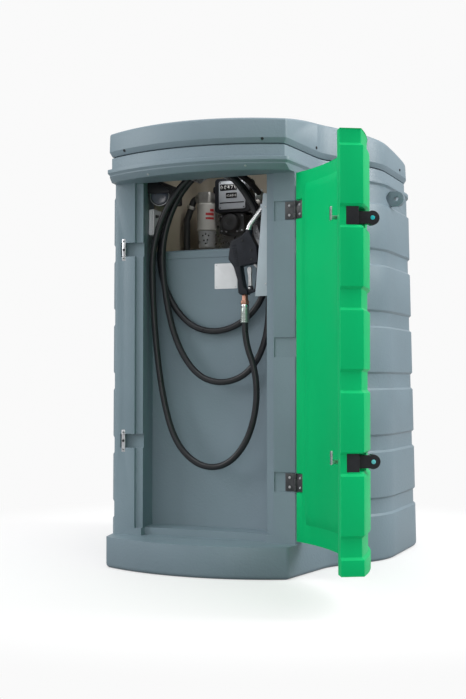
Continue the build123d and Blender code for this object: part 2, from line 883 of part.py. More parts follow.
canister_top = filter_head_z - filter_head_size[2] / 2
with BuildPart() as filter_canister:
    with BuildSketch(Plane.XY.offset(canister_bottom)):
        with Locations((filter_x, filter_y)):
            Circle(canister_radius)
    extrude(amount=canister_top - canister_bottom)
save(filter_canister.part, "filter_canister")

with BuildPart() as filter_bowl:
    with BuildSketch(Plane.XY.offset(canister_bottom)):
        with Locations((filter_x, filter_y)):
            Circle(bowl_radius)
    extrude(amount=bowl_bottom - canister_bottom, taper=6)
save(filter_bowl.part, "filter_bowl")

with BuildPart() as filter_pipe:
    with BuildSketch(Plane.XZ.offset(-(filter_y + filter_head_size[1] / 2))):
        with Locations((filter_x, filter_head_z)):
            Circle(pipe_radius)
    extrude(amount=-(bracket_y - filter_y - filter_head_size[1] / 2))
save(filter_pipe.part, "filter_pipe")

suction_top = (filter_x - filter_head_size[0] / 2, filter_y, filter_head_z)
with BuildPart() as suction_pipe:
    with BuildLine() as suction_route:
        FilletPolyline(
            suction_top,
            *[(x, filter_y, z) for x, z in suction_knees],
            (suction_knees[-1][0], filter_y, well_floor),
            radius=suction_bend,
        )
    with BuildSketch(Plane(suction_route.wires()[0] @ 0, z_dir=suction_route.wires()[0] % 0)):
        Circle(pipe_radius)
    sweep()
save(suction_pipe.part, "suction_pipe")

outlet_x = meter_centre[0] + meter_size[0] / 2
hose_route = [
    (118, -205, 1590), (118, -334, 1632), (32, -420, 1672), (-85, -421, 1668), (-195, -420, 1540),
    (-262, -420, 1350), (-235, -420, 1160), (-130, -420, 1010), (0, -421, 968), (135, -422, 1010),
    (235, -425, 1130), (255, -430, 1330), (180, -440, 1530), (62, -448, 1655), (-62, -449, 1655),
    (-175, -449, 1525), (-235, -449, 1340), (-215, -449, 1130), (-165, -449, 930), (-70, -449, 790),
    (50, -450, 755), (170, -451, 800), (245, -453, 930), (262, -456, 1130), (250, -461, 1340),
    (175, -470, 1530), (62, -476, 1655), (-62, -477, 1655), (-185, -478, 1530), (-262, -479, 1345),
    (-258, -480, 1130), (-240, -481, 900), (-205, -482, 680), (-150, -484, 510), (-45, -486, 415),
    (75, -488, 415), (170, -490, 510), (218, -493, 660), (215, -497, 810), (168, -500, 930),
    (168, -500, 1006),
]
hose_start = Vector(*hose_route[0])
tail_axis = (hose_start - Vector(*hose_route[1])).normalized()
tail_end = hose_start + tail_axis * ferrule_length
rise = (meter_centre[1] - tail_end.Y) / tail_axis.Y
elbow_corner = tail_end + tail_axis * rise
with BuildPart() as outlet_elbow:
    with BuildLine() as outlet_route:
        FilletPolyline((outlet_x, elbow_corner.Y, elbow_corner.Z), elbow_corner, tail_end, radius=elbow_bend)
    with BuildSketch(Plane(outlet_route.wires()[0] @ 0, z_dir=outlet_route.wires()[0] % 0)):
        Circle(pipe_radius)
    sweep()
save(outlet_elbow.part, "outlet_elbow")

with BuildPart() as meter_hose_tail:
    with BuildSketch(Plane(hose_start, z_dir=tail_axis)):
        Circle(ferrule_radius)
    extrude(amount=ferrule_length)
save(meter_hose_tail.part, "meter_hose_tail")


# Hose: straight runs joined by arcs as large as the runs allow
def hose_radii(route):
    """The bend at each inner point of the route."""
    points = [Vector(*p) for p in route]
    radii = []
    for before, here, after in zip(points, points[1:], points[2:]):
        turn = radians((here - before).get_angle(after - here))
        shorter = min((here - before).length, (after - here).length)
        radii.append(hose_bend * shorter / tan(turn / 2))
    return radii


radii = hose_radii(hose_route)
print("hose radii", [round(r) for r in radii], "least", round(min(radii)))
with BuildPart() as fuel_hose:
    with BuildLine() as hose_line:
        FilletPolyline(*hose_route, radius=radii)
    hose_wire = hose_line.wires()[0]
    with BuildSketch(Plane(hose_wire @ 0, z_dir=hose_wire % 0)):
        Circle(hose_diameter / 2)
    sweep()
section = pi * hose_diameter**2 / 4
print("hose length", round(hose_wire.length), "volume over section", round(fuel_hose.part.volume / section))
save(fuel_hose.part, "fuel_hose")

# Hose hook: a half round former on the back of the lintel
hook_z = hook_top - hose_diameter / 2 - seat - hook_radius
with BuildPart() as hose_hook:
    with BuildSketch(Plane.XZ.offset(-post_face_y - bund_wall)):
        with Locations((0, hook_z)):
            Circle(hook_radius)
            Circle(hook_radius - hook_thickness, mode=Mode.SUBTRACT)
        with Locations((0, hook_z - hook_radius + hook_cut)):
            Rectangle(4 * hook_radius, 2 * hook_radius, mode=Mode.SUBTRACT)
    extrude(amount=-hook_depth)
save(hose_hook.part, "hose_hook")

# Left wall fittings
with BuildPart() as gauge_box:
    with Locations(gauge_centre):
        Box(*gauge_size)
    fillet(gauge_box.edges().filter_by(Axis.X), gauge_edge)
save(gauge_box.part, "gauge_box")

with BuildPart() as vent_hood:
    with Locations(hood_centre):
        Box(*hood_size)
    fillet(vent_hood.edges().filter_by(Axis.X), hood_edge)
save(vent_hood.part, "vent_hood")


def flat_piece(outline_points, y_low, y_high, edge=0.0, hole=None):
    """A piece of even depth across Y whose outline is given in X and Z, with a round hole if asked."""
    with BuildPart() as piece:
        with BuildSketch(Plane.XZ.offset(-y_high)) as profile:
            with BuildLine():
                Polyline(*outline_points, close=True)
            make_face()
            if edge:
                fillet(profile.vertices(), edge)
            if hole:
                with Locations(hole[:2]):
                    Circle(hole[2], mode=Mode.SUBTRACT)
        extrude(amount=y_high - y_low)
    return piece.part


# Nozzle holster on the right wall
with BuildPart() as nozzle_holster:
    add(flat_piece(holster_outline, holster_front, holster_front + holster_sheet))
    wall_x, foot_z = holster_outline[2]
    return_y, return_top = holster_return
    add(slab((wall_x - holster_sheet, wall_x), (holster_front, return_y), (foot_z, return_top)))
    rest_x, rest_z = holster_rest
    add(slab(rest_x, (holster_front + holster_sheet - 1, nozzle_y - spout_radius - seat), rest_z))
save(nozzle_holster.part, "nozzle_holster")

# Nozzle
half_depth = nozzle_depth / 2
save(flat_piece(body_outline, nozzle_y - half_depth, nozzle_y + half_depth, nozzle_edge), "nozzle_body")

with BuildPart() as nozzle_spout:
    with BuildLine() as spout_line:
        FilletPolyline(*[(x, nozzle_y, z) for x, z in spout_route], radius=spout_bend)
    with BuildSketch(Plane(spout_line.wires()[0] @ 0, z_dir=spout_line.wires()[0] % 0)):
        Circle(spout_radius)
    sweep()
save(nozzle_spout.part, "nozzle_spout")

half_width = trigger_width / 2
trigger_hole = (*trigger_pivot, trigger_play)
save(
    flat_piece(trigger_outline, nozzle_y - half_width, nozzle_y + half_width, 0, trigger_hole), "nozzle_trigger"
)

half_guard = guard_width / 2
with BuildPart() as nozzle_guard:
    add(flat_piece(guard_outline, nozzle_y - half_guard, nozzle_y + half_guard))
    for low in (-half_guard, half_guard - cheek_width):
        add(flat_piece(cheek_outline, nozzle_y + low, nozzle_y + low + cheek_width))
    with BuildSketch(Plane.XZ.offset(-nozzle_y - half_guard)):
        with Locations(trigger_pivot):
            Circle(trigger_play - seat)
    extrude(amount=guard_width)
save(nozzle_guard.part, "nozzle_guard")

inlet_x, inlet_z = nozzle_inlet
hose_end = hose_route[-1][2]
with BuildPart() as nozzle_swivel:
    with BuildSketch(Plane.XY.offset(hose_end + ferrule_length)):
        with Locations((inlet_x, nozzle_y)):
            Circle(swivel_radius)
    extrude(amount=inlet_z - hose_end - ferrule_length)
save(nozzle_swivel.part, "nozzle_swivel")

with BuildPart() as nozzle_hose_tail:
    with BuildSketch(Plane.XY.offset(hose_end)):
        with Locations((inlet_x, nozzle_y)):
            Circle(ferrule_radius)
    extrude(amount=ferrule_length)
save(nozzle_hose_tail.part, "nozzle_hose_tail")
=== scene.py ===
"""Bunded diesel fuel tank: the moulded bund with its lid and bowed green door, and the pump set,
filter, meter, hose and nozzle in the cabinet. Lengths are in metres and angles in degrees."""

import json
from math import asin, cos, degrees, pi, radians, sin

import bmesh
import bpy
from mathutils import Matrix, Vector

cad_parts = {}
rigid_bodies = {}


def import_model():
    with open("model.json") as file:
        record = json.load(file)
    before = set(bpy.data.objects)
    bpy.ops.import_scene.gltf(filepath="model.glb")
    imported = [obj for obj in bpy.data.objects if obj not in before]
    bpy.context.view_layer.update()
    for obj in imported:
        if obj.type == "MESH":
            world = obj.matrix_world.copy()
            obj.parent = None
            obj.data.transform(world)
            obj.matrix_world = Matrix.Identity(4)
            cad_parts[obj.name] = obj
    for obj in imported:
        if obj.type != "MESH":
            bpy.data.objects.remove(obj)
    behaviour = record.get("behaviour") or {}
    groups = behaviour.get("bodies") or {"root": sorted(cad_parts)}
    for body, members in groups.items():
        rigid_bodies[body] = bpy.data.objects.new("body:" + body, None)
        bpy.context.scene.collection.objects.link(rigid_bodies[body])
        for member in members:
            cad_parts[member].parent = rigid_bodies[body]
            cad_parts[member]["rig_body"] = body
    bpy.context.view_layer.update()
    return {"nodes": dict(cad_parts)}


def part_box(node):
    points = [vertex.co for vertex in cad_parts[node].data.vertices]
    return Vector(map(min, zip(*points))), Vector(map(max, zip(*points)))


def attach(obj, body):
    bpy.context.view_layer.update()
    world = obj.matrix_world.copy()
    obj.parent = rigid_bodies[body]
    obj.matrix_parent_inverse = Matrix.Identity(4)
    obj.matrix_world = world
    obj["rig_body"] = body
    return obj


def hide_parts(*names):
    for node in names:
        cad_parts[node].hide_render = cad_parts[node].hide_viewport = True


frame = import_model()
collection = bpy.context.scene.collection


# Camera
# It stands in front of the hinge side at hip height and looks slightly up, as the photograph does.
camera_place = (1.769, -4.650, 0.771)
camera_rise = 91.63
camera_turn = 21.72
camera_focus_px = 1093.0
picture_height_px = 699.0
sensor_size = 36.0

camera_data = bpy.data.cameras.new("camera")
camera_data.sensor_width = sensor_size
camera_data.lens = camera_focus_px / picture_height_px * sensor_size
camera = bpy.data.objects.new("camera", camera_data)
camera.location = camera_place
camera.rotation_euler = (radians(camera_rise), 0, radians(camera_turn))
collection.objects.link(camera)
bpy.context.scene.camera = camera


# Studio
# White paper under the tank, which fades into a white surround. Light comes from above, from the right
# and from the left of the tank. A weak lamp shines into the cabinet, and a small one into the pump's well.
floor_size = 60.0
sky_strength = 1.5
horizon_strength = 0.22
backdrop_white = 0.955
paper_colour = (0.80, 0.80, 0.805, 1)
paper_bounce = (0.40, 0.40, 0.40, 1)
white = (1.0, 1.0, 1.0, 1)
fade_start = 1.1
fade_end = 2.2
near_glow = 0.45


def new_material(name):
    """A new node material and its tree."""
    material = bpy.data.materials.new(name)
    material.use_nodes = True
    return material, material.node_tree


def add_node(tree, kind, settings=None, **inputs):
    """A node with its settings, and inputs that are numbers or another node's sockets."""
    node = tree.nodes.new(kind)
    for setting, value in (settings or {}).items():
        setattr(node, setting, value)
    for label, value in inputs.items():
        socket = node.inputs[label.replace("_", " ")]
        if isinstance(value, bpy.types.NodeSocket):
            tree.links.new(value, socket)
        else:
            socket.default_value = value
    return node


def soft_lamp(name, place, target, size, watts):
    """A square lamp that faces a point."""
    lamp = bpy.data.lights.new(name, "AREA")
    lamp.size = size
    lamp.energy = watts
    holder = bpy.data.objects.new(name, lamp)
    holder.location = place
    direction = Vector(target) - Vector(place)
    holder.rotation_euler = direction.to_track_quat("-Z", "Y").to_euler()
    collection.objects.link(holder)


soft_lamp("top_lamp", (0, -2.4, 5.2), (0, -0.3, 1.2), size=3.0, watts=60)
soft_lamp("right_lamp", (4.7, 0.8, 3.8), (0.5, 0, 0.9), size=3.0, watts=250)
soft_lamp("left_lamp", (-4.2, -3.4, 2.8), (0, -0.4, 0.9), size=2.6, watts=100)
soft_lamp("cabinet_lamp", (1.0, -5.6, 1.3), (0, -0.3, 1.2), size=1.6, watts=26)
soft_lamp("well_lamp", (-0.02, -0.28, 1.76), (-0.05, 0.1, 1.45), size=0.16, watts=0.42)

world = bpy.data.worlds.new("surround")
world.use_nodes = True
bpy.context.scene.world = world
world_tree = world.node_tree
surround = world_tree.nodes["Background"]
surround.inputs["Color"].default_value = white
sky_way = add_node(world_tree, "ShaderNodeTexCoord")
parts = add_node(world_tree, "ShaderNodeSeparateXYZ", Vector=sky_way.outputs["Generated"])
sky = add_node(
    world_tree, "ShaderNodeMapRange", To_Min=horizon_strength, To_Max=sky_strength, Value=parts.outputs["Z"]
)


def plain_sight(tree):
    """One where the camera looks, straight or through glass, and zero for other light."""
    path = add_node(tree, "ShaderNodeLightPath")
    either = add_node(tree, "ShaderNodeMath", {"operation": "MAXIMUM"})
    tree.links.new(path.outputs["Is Camera Ray"], either.inputs[0])
    tree.links.new(path.outputs["Is Transmission Ray"], either.inputs[1])
    return either.outputs[0]


strength = add_node(world_tree, "ShaderNodeMix")
strength.inputs[3].default_value = backdrop_white
world_tree.links.new(plain_sight(world_tree), strength.inputs[0])
world_tree.links.new(sky.outputs["Result"], strength.inputs[2])
world_tree.links.new(strength.outputs[0], surround.inputs["Strength"])

paper, paper_tree = new_material("paper")
paper_shader = paper_tree.nodes["Principled BSDF"]
paper_shader.inputs["Roughness"].default_value = 0.9
paper_shader.inputs["Specular IOR Level"].default_value = 0.1
seen = plain_sight(paper_tree)
tone = add_node(paper_tree, "ShaderNodeMix", {"data_type": "RGBA"})
tone.inputs[6].default_value = paper_bounce
tone.inputs[7].default_value = paper_colour
paper_tree.links.new(seen, tone.inputs[0])
paper_tree.links.new(tone.outputs[2], paper_shader.inputs["Base Color"])
glow = add_node(paper_tree, "ShaderNodeEmission", Color=white, Strength=backdrop_white)
paper_place = add_node(paper_tree, "ShaderNodeTexCoord")
reach = add_node(paper_tree, "ShaderNodeVectorMath", {"operation": "LENGTH"})
paper_tree.links.new(paper_place.outputs["Object"], reach.inputs[0])
fade = add_node(
    paper_tree, "ShaderNodeMapRange", {"interpolation_type": "SMOOTHSTEP"}, From_Min=fade_start,
    From_Max=fade_end, To_Min=near_glow, Value=reach.outputs["Value"],
)
far = add_node(paper_tree, "ShaderNodeMath", {"operation": "MULTIPLY"})
paper_tree.links.new(fade.outputs["Result"], far.inputs[0])
paper_tree.links.new(seen, far.inputs[1])
blend = add_node(paper_tree, "ShaderNodeMixShader", Fac=far.outputs[0])
paper_tree.links.new(paper_shader.outputs["BSDF"], blend.inputs[1])
paper_tree.links.new(glow.outputs["Emission"], blend.inputs[2])
paper_tree.links.new(blend.outputs["Shader"], paper_tree.nodes["Material Output"].inputs["Surface"])
bpy.ops.mesh.primitive_plane_add(size=floor_size, location=(0, 0, 0))
floor = bpy.context.object
floor.name = "floor"
floor.data.materials.append(paper)
bpy.context.scene.view_settings.view_transform = "Standard"


# Bund
# The outer wall, posts, sill and recess of the cabinet are one hollow moulding in blue grey
# polyethylene, turned in a hot mould, so every edge is round and the skin has a faint orange peel.
bund_colour = (0.155, 0.212, 0.248, 1)
bund_edge = 0.0055
bund_foot = 0.018
foot_height = 0.001
foot_angle = 1.0
noise_middle = (0.3, 0.7)
roughness_spread = 0.05
relief_strength = 0.6


def noise(tree, place, size, detail=2.0):
    """A noise whose blots are about the given size across."""
    return add_node(
        tree, "ShaderNodeTexNoise", Scale=1 / size, Detail=detail, Vector=place.outputs["Object"]
    )


def ranged(tree, source, low, high):
    """The source's middle values spread between two numbers."""
    spread = add_node(
        tree, "ShaderNodeMapRange", From_Min=noise_middle[0], From_Max=noise_middle[1], To_Min=low,
        To_Max=high, Value=source,
    )
    return spread.outputs["Result"]


def finish(
    name, colour, roughness, mottle=0.05, blot=0.01, peel=0.001, peel_depth=0.00003, metallic=0.0, gloss=0.5,
):
    """A surface with an uneven colour, an uneven gloss and a fine relief."""
    material, tree = new_material(name)
    shader = tree.nodes["Principled BSDF"]
    place = add_node(tree, "ShaderNodeTexCoord")
    blots = noise(tree, place, blot, 4.0).outputs["Fac"]
    shade = add_node(
        tree, "ShaderNodeHueSaturation", Color=colour, Value=ranged(tree, blots, 1 - mottle, 1 + mottle)
    )
    tree.links.new(shade.outputs["Color"], shader.inputs["Base Color"])
    smooth, rough = roughness - roughness_spread, roughness + roughness_spread
    tree.links.new(ranged(tree, blots, smooth, rough), shader.inputs["Roughness"])
    fine = noise(tree, place, peel, 3.0).outputs["Fac"]
    relief = add_node(
        tree, "ShaderNodeBump", Distance=peel_depth, Strength=relief_strength, Height=fine
    )
    tree.links.new(relief.outputs["Normal"], shader.inputs["Normal"])
    shader.inputs["Metallic"].default_value = metallic
    shader.inputs["Specular IOR Level"].default_value = gloss
    return material


def fitted(name, mesh, material, body="tank", stands_for=()):
    """A finished piece at the origin, shaded smooth but for its edges, that rides on a body."""
    mesh.shade_smooth()
    mesh.set_sharp_from_angle(angle=radians(35))
    mesh.materials.clear()
    mesh.materials.append(material)
    piece = bpy.data.objects.new(name, mesh)
    collection.objects.link(piece)
    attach(piece, body)
    if stands_for:
        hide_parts(*stands_for)
    return piece


def applied(holder):
    """The mesh that an object's modifiers or words make. The object goes."""
    mesh = bpy.data.meshes.new_from_object(holder.evaluated_get(bpy.context.evaluated_depsgraph_get()))
    bpy.data.objects.remove(holder)
    return mesh


def baked(mesh, *modifiers):
    """The mesh with modifiers applied, each given as a kind and its settings."""
    rough = bpy.data.objects.new("rough", mesh)
    collection.objects.link(rough)
    for kind, settings in modifiers:
        modifier = rough.modifiers.new(kind, kind)
        for setting, value in settings.items():
            setattr(modifier, setting, value)
    return applied(rough)


def rounding(width, segments=3, sharp=28.0):
    """A bevel on every edge sharper than an angle."""
    settings = {"width": width, "segments": segments, "limit_method": "ANGLE", "angle_limit": radians(sharp)}
    return "BEVEL", settings


def bevelled(shape, edges, width):
    """Round the given edges of a shape."""
    bmesh.ops.bevel(
        shape, geom=edges, offset=width, segments=4, profile=0.5, affect="EDGES", clamp_overlap=True
    )


def softened(node, material, edge, segments=3, sharp=28.0, soft_foot=0.0):
    """A copy of a solid with its edges rounded, those round its foot more, which stands for the solid."""
    mesh = frame["nodes"][node].data.copy()
    shape = bmesh.new()
    shape.from_mesh(mesh)
    bmesh.ops.remove_doubles(shape, verts=shape.verts, dist=2e-5)
    bmesh.ops.dissolve_limit(shape, angle_limit=radians(0.8), verts=shape.verts, edges=shape.edges)
    if soft_foot:
        low = [e for e in shape.edges if max(v.co.z for v in e.verts) < foot_height]
        bevelled(shape, [e for e in low if e.calc_face_angle(0) > foot_angle], soft_foot)
    shape.to_mesh(mesh)
    shape.free()
    body = frame["nodes"][node]["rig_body"]
    return fitted(node + "_skin", baked(mesh, rounding(edge, segments, sharp)), material, body, [node])


grey_plastic = finish(
    "grey_plastic", bund_colour, 0.43, blot=0.35, peel=0.009, peel_depth=0.0016, gloss=0.38
)
softened("bund_moulding", grey_plastic, bund_edge, soft_foot=bund_foot)


# Lid
# A crowned cap in the same plastic as the bund. Its skirt tucks in at the foot, where short screws hold
# it to the bund's upstand.
lid_edge = 0.006
screw_head = (0.0065, 0.003)
screw_recess = (0.0032, 0.002)
screw_top_share = 0.8
lid_screws = [
    ((-0.302, -0.659, 1.718), (-0.30, -0.80, -0.51)), ((0.302, -0.659, 1.718), (0.30, -0.80, -0.51)),
    ((0.4235, -0.340, 1.735), (0.992, -0.116, 0.04)), ((-0.4235, -0.340, 1.735), (-0.992, -0.116, 0.04)),
    ((0.6236, 0.308, 1.744), (0.998, -0.038, 0.047)), ((-0.6236, 0.308, 1.744), (-0.998, -0.038, 0.047)),
]


def node_tree(name, sizes):
    """A Geometry Nodes tree with named inputs, and its input and output nodes."""
    tree = bpy.data.node_groups.new(name, "GeometryNodeTree")
    tree.interface.new_socket("Geometry", in_out="INPUT", socket_type="NodeSocketGeometry")
    kinds = {
        float: "NodeSocketFloat", int: "NodeSocketInt", tuple: "NodeSocketVector", str: "NodeSocketMaterial",
    }
    for label, value in sizes.items():
        socket = tree.interface.new_socket(label, in_out="INPUT", socket_type=kinds[type(value)])
        if type(value) is not str:
            socket.default_value = value
    tree.interface.new_socket("Geometry", in_out="OUTPUT", socket_type="NodeSocketGeometry")
    return tree, tree.nodes.new("NodeGroupInput"), tree.nodes.new("NodeGroupOutput")


def coat(tree, given, solid, result):
    """Give what a tree has made its material, and hand it out."""
    coated = add_node(
        tree, "GeometryNodeSetMaterial", Geometry=solid.outputs["Geometry"], Material=given.outputs["Finish"]
    )
    tree.links.new(coated.outputs["Geometry"], result.inputs["Geometry"])


# A screw: a chamfered head with a hexagonal recess, set on every point and turned to face its way
screw_sizes = {
    "Head radius": screw_head[0], "Head height": screw_head[1], "Recess radius": screw_recess[0],
    "Recess depth": screw_recess[1], "Seed": 4, "Finish": "",
}
screw_tree, given, result = node_tree("screws", screw_sizes)
top_radius = add_node(screw_tree, "ShaderNodeMath", {"operation": "MULTIPLY"})
screw_tree.links.new(given.outputs["Head radius"], top_radius.inputs[0])
top_radius.inputs[1].default_value = screw_top_share
head = add_node(
    screw_tree, "GeometryNodeMeshCone", Vertices=24, Radius_Top=top_radius.outputs[0],
    Radius_Bottom=given.outputs["Head radius"], Depth=given.outputs["Head height"],
)
double_depth = add_node(screw_tree, "ShaderNodeMath", {"operation": "MULTIPLY"})
screw_tree.links.new(given.outputs["Recess depth"], double_depth.inputs[0])
double_depth.inputs[1].default_value = 2.0
recess = add_node(
    screw_tree, "GeometryNodeMeshCylinder", Vertices=6, Radius=given.outputs["Recess radius"],
    Depth=double_depth.outputs[0],
)
recess_place = add_node(screw_tree, "ShaderNodeCombineXYZ", Z=given.outputs["Head height"])
raised = add_node(
    screw_tree, "GeometryNodeTransform", Geometry=recess.outputs["Mesh"], Translation=recess_place.outputs[0]
)
cut = add_node(screw_tree, "GeometryNodeMeshBoolean", {"operation": "DIFFERENCE"})
screw_tree.links.new(head.outputs["Mesh"], cut.inputs[0])
screw_tree.links.new(raised.outputs["Geometry"], cut.inputs[1])
facing = add_node(screw_tree, "GeometryNodeInputNamedAttribute", {"data_type": "FLOAT_VECTOR"}, Name="facing")
turned_to = add_node(
    screw_tree, "FunctionNodeAlignRotationToVector", {"axis": "Z"}, Vector=facing.outputs["Attribute"]
)
heads = add_node(
    screw_tree, "GeometryNodeInstanceOnPoints", Points=given.outputs["Geometry"],
    Instance=cut.outputs["Mesh"], Rotation=turned_to.outputs["Rotation"],
)
turn = add_node(screw_tree, "FunctionNodeRandomValue", {"data_type": "FLOAT"}, Seed=given.outputs["Seed"])
turn.inputs[3].default_value = 2 * pi
spin = add_node(screw_tree, "ShaderNodeCombineXYZ", Z=turn.outputs[1])
spun = add_node(
    screw_tree, "GeometryNodeRotateInstances", Instances=heads.outputs["Instances"], Rotation=spin.outputs[0]
)
solid = add_node(screw_tree, "GeometryNodeRealizeInstances", Geometry=spun.outputs["Instances"])
coat(screw_tree, given, solid, result)


def grown(mesh, tree, sizes):
    """The mesh that a Geometry Nodes tree makes of another, with its named inputs set."""
    holder = bpy.data.objects.new("holder", mesh)
    collection.objects.link(holder)
    modifier = holder.modifiers.new("tree", "NODES")
    modifier.node_group = tree
    for item in tree.interface.items_tree:
        if item.in_out == "INPUT" and item.name in sizes:
            modifier[item.identifier] = sizes[item.name]
    holder.update_tag()
    return applied(holder)


def screws(name, places, material, body="tank", head=screw_head, recess=screw_recess):
    """Screws on the given places, each facing its way, with a radius and a height for head and recess."""
    seats = bpy.data.meshes.new(name)
    seats.from_pydata([place for place, _ in places], [], [])
    ways = seats.attributes.new("facing", "FLOAT_VECTOR", "POINT")
    for index, (_, way) in enumerate(places):
        ways.data[index].vector = way
    sizes = {"Finish": material, "Head radius": head[0], "Head height": head[1]}
    sizes |= {"Recess radius": recess[0], "Recess depth": recess[1]}
    return fitted(name, grown(seats, screw_tree, sizes), material, body)


softened("lid", grey_plastic, lid_edge)
dark_steel = finish(
    "dark_steel", (0.03, 0.032, 0.035, 1), 0.45, mottle=0.15, peel=0.004, peel_depth=0.0002, metallic=0.6
)
screws("lid_screws", lid_screws, dark_steel)


# Inner tank
# The fuel stands in a second, closed moulding of natural beige polyethylene inside the bund. Its front
# and the well that holds the pump show over the cabinet's divider.
tank_colour = (0.42, 0.37, 0.29, 1)
well_rim = 1.5
well_rise = 0.085
tank_plastic = finish(
    "tank_plastic", tank_colour, 0.5, mottle=0.07, blot=0.15, peel=0.006, peel_depth=0.0003
)
tank_skin = softened("inner_tank", tank_plastic, edge=0.008)
for point in tank_skin.data.vertices:
    if point.co.z > well_rim:
        point.co.z += well_rise


# Door
# A hollow bowed moulding in green polyethylene with the bund's bands on its skin and a raised field on
# its inner face. It stands open on its two hinges.
door_colour = (0.0, 0.43, 0.135, 1)
green_plastic = finish(
    "green_plastic", door_colour, 0.42, mottle=0.03, blot=0.3, peel=0.006, peel_depth=0.0003, gloss=0.10
)
softened("door_moulding", green_plastic, edge=0.004)


# Hinges
# Pressed black leaves that share a zinc plated pin. One leaf lies in a pocket of the post and one on the
# door's inner skin, each held by two bright screws.
hinge_axis = Vector((0.402, -0.553, 0))
hinge_heights = (1.447, 0.370)
hinge_screw_reach = 0.026
hinge_screw_gap = 0.019
post_leaf_face = -0.548
door_leaf_face = -0.002
door_open = 118.8
door_skin_radius = 0.8122
hinge_leaf_half = 0.022
hinge_slope = degrees(asin((hinge_axis.x - hinge_leaf_half) / door_skin_radius))

black_leaf = finish(
    "black_leaf", (0.028, 0.030, 0.034, 1), 0.4, mottle=0.2, blot=0.02, peel=0.0015, peel_depth=0.0002
)
zinc = finish("zinc", (0.62, 0.63, 0.65, 1), 0.3, mottle=0.12, blot=0.012, peel_depth=0.00005, metallic=1.0)
for height in ("upper", "lower"):
    softened(height + "_hinge_post_leaf", black_leaf, edge=0.0008, segments=2)
    softened(height + "_hinge_door_leaf", black_leaf, edge=0.0008, segments=2)
    softened(height + "_hinge_pin", zinc, edge=0.0008, segments=2)


def front_seats(across, face, heights):
    """Places on a face at the front, each with the way it faces."""
    return [((x, face, z), (0, -1, 0)) for x in across for z in heights]


def paired(middles, gap):
    """Two places for each middle, a gap to either side of it."""
    return [middle + side for middle in middles for side in (-gap, gap)]


hinge_screw_heights = paired(hinge_heights, hinge_screw_gap)
post_screws = front_seats([hinge_axis.x - hinge_screw_reach], post_leaf_face, hinge_screw_heights)
leaf_turn = Matrix.Rotation(radians(door_open + hinge_slope), 3, "Z")
door_leaf_way = leaf_turn @ Vector((0, 1, 0))
door_screws = [
    (tuple(hinge_axis + leaf_turn @ Vector((-hinge_screw_reach, door_leaf_face, z))), door_leaf_way)
    for z in hinge_screw_heights
]
screws("post_hinge_screws", post_screws, zinc, head=(0.0055, 0.0022))
screws("door_hinge_screws", door_screws, zinc, "door", head=(0.0055, 0.0022))


# Latches
# A black paddle knob with a teal cap turns a steel bolt through a black housing at the door's free
# edge. Each bolt catches behind a zinc plated plate that two screws hold to the post.
strike_x = -0.360
strike_face = -0.550
strike_heights = (1.322, 0.519)
strike_screw_gap = 0.036
strike_hole = 0.006

black_plastic = finish(
    "black_plastic", (0.013, 0.014, 0.017, 1), 0.38, mottle=0.15, blot=0.03, peel=0.0012,
    peel_depth=0.0001, gloss=0.3
)
teal_plastic = finish("teal_plastic", (0.0, 0.43, 0.46, 1), 0.35, mottle=0.06)
pale_teal = finish("pale_teal", (0.10, 0.50, 0.52, 1), 0.4, mottle=0.06)
latch_x = -0.330
latch_heights = {"upper": 1.308, "lower": 0.505}
paddle_half = 0.024
paddle_shoulder = 0.030
paddle_waist = 0.0212
paddle_length = 0.078
paddle_depth = 0.026
paddle_trim = 0.013
paddle_ease = 0.002
neck_radius = 0.011
neck_length = 0.016
neck_sunk = 0.004
housing_gap = 0.003
cap_radius = 0.0075
paddle_neck_rings = [(0, 0), (0, neck_radius), (neck_length, neck_radius), (neck_length, 0)]
latch_cap_rings = [
    (-0.003, 0), (-0.003, cap_radius), (0.0012, cap_radius), (0.002, cap_radius - 0.001),
    (0.0024, cap_radius - 0.003), (0.0025, 0),
]
door_swing = Matrix.Rotation(radians(door_open), 4, "Z")
door_turn = Matrix.Translation(hinge_axis) @ door_swing @ Matrix.Translation(-hinge_axis)


def as_mesh(shape):
    """A shape as a mesh. The shape goes."""
    mesh = bpy.data.meshes.new("shape")
    shape.to_mesh(mesh)
    shape.free()
    return mesh


def pressed(outline, front, back, edge=0.0006, corner=0.0, segments=2):
    """A mesh of even depth across Y from an outline in X and Z, its corners and edges rounded."""
    shape = bmesh.new()
    face = shape.faces.new([shape.verts.new((x, back, z)) for x, z in outline])
    bmesh.ops.recalc_face_normals(shape, faces=shape.faces)
    pulled = bmesh.ops.extrude_face_region(shape, geom=[face])
    moved = [part for part in pulled["geom"] if isinstance(part, bmesh.types.BMVert)]
    bmesh.ops.translate(shape, verts=moved, vec=(0, front - back, 0))
    if corner:
        upright = [e for e in shape.edges if abs(e.verts[0].co.y - e.verts[1].co.y) > 1e-6]
        bevelled(shape, upright, corner)
    bmesh.ops.recalc_face_normals(shape, faces=shape.faces)
    mesh = as_mesh(shape)
    return baked(mesh, rounding(edge, segments, 40)) if edge else mesh


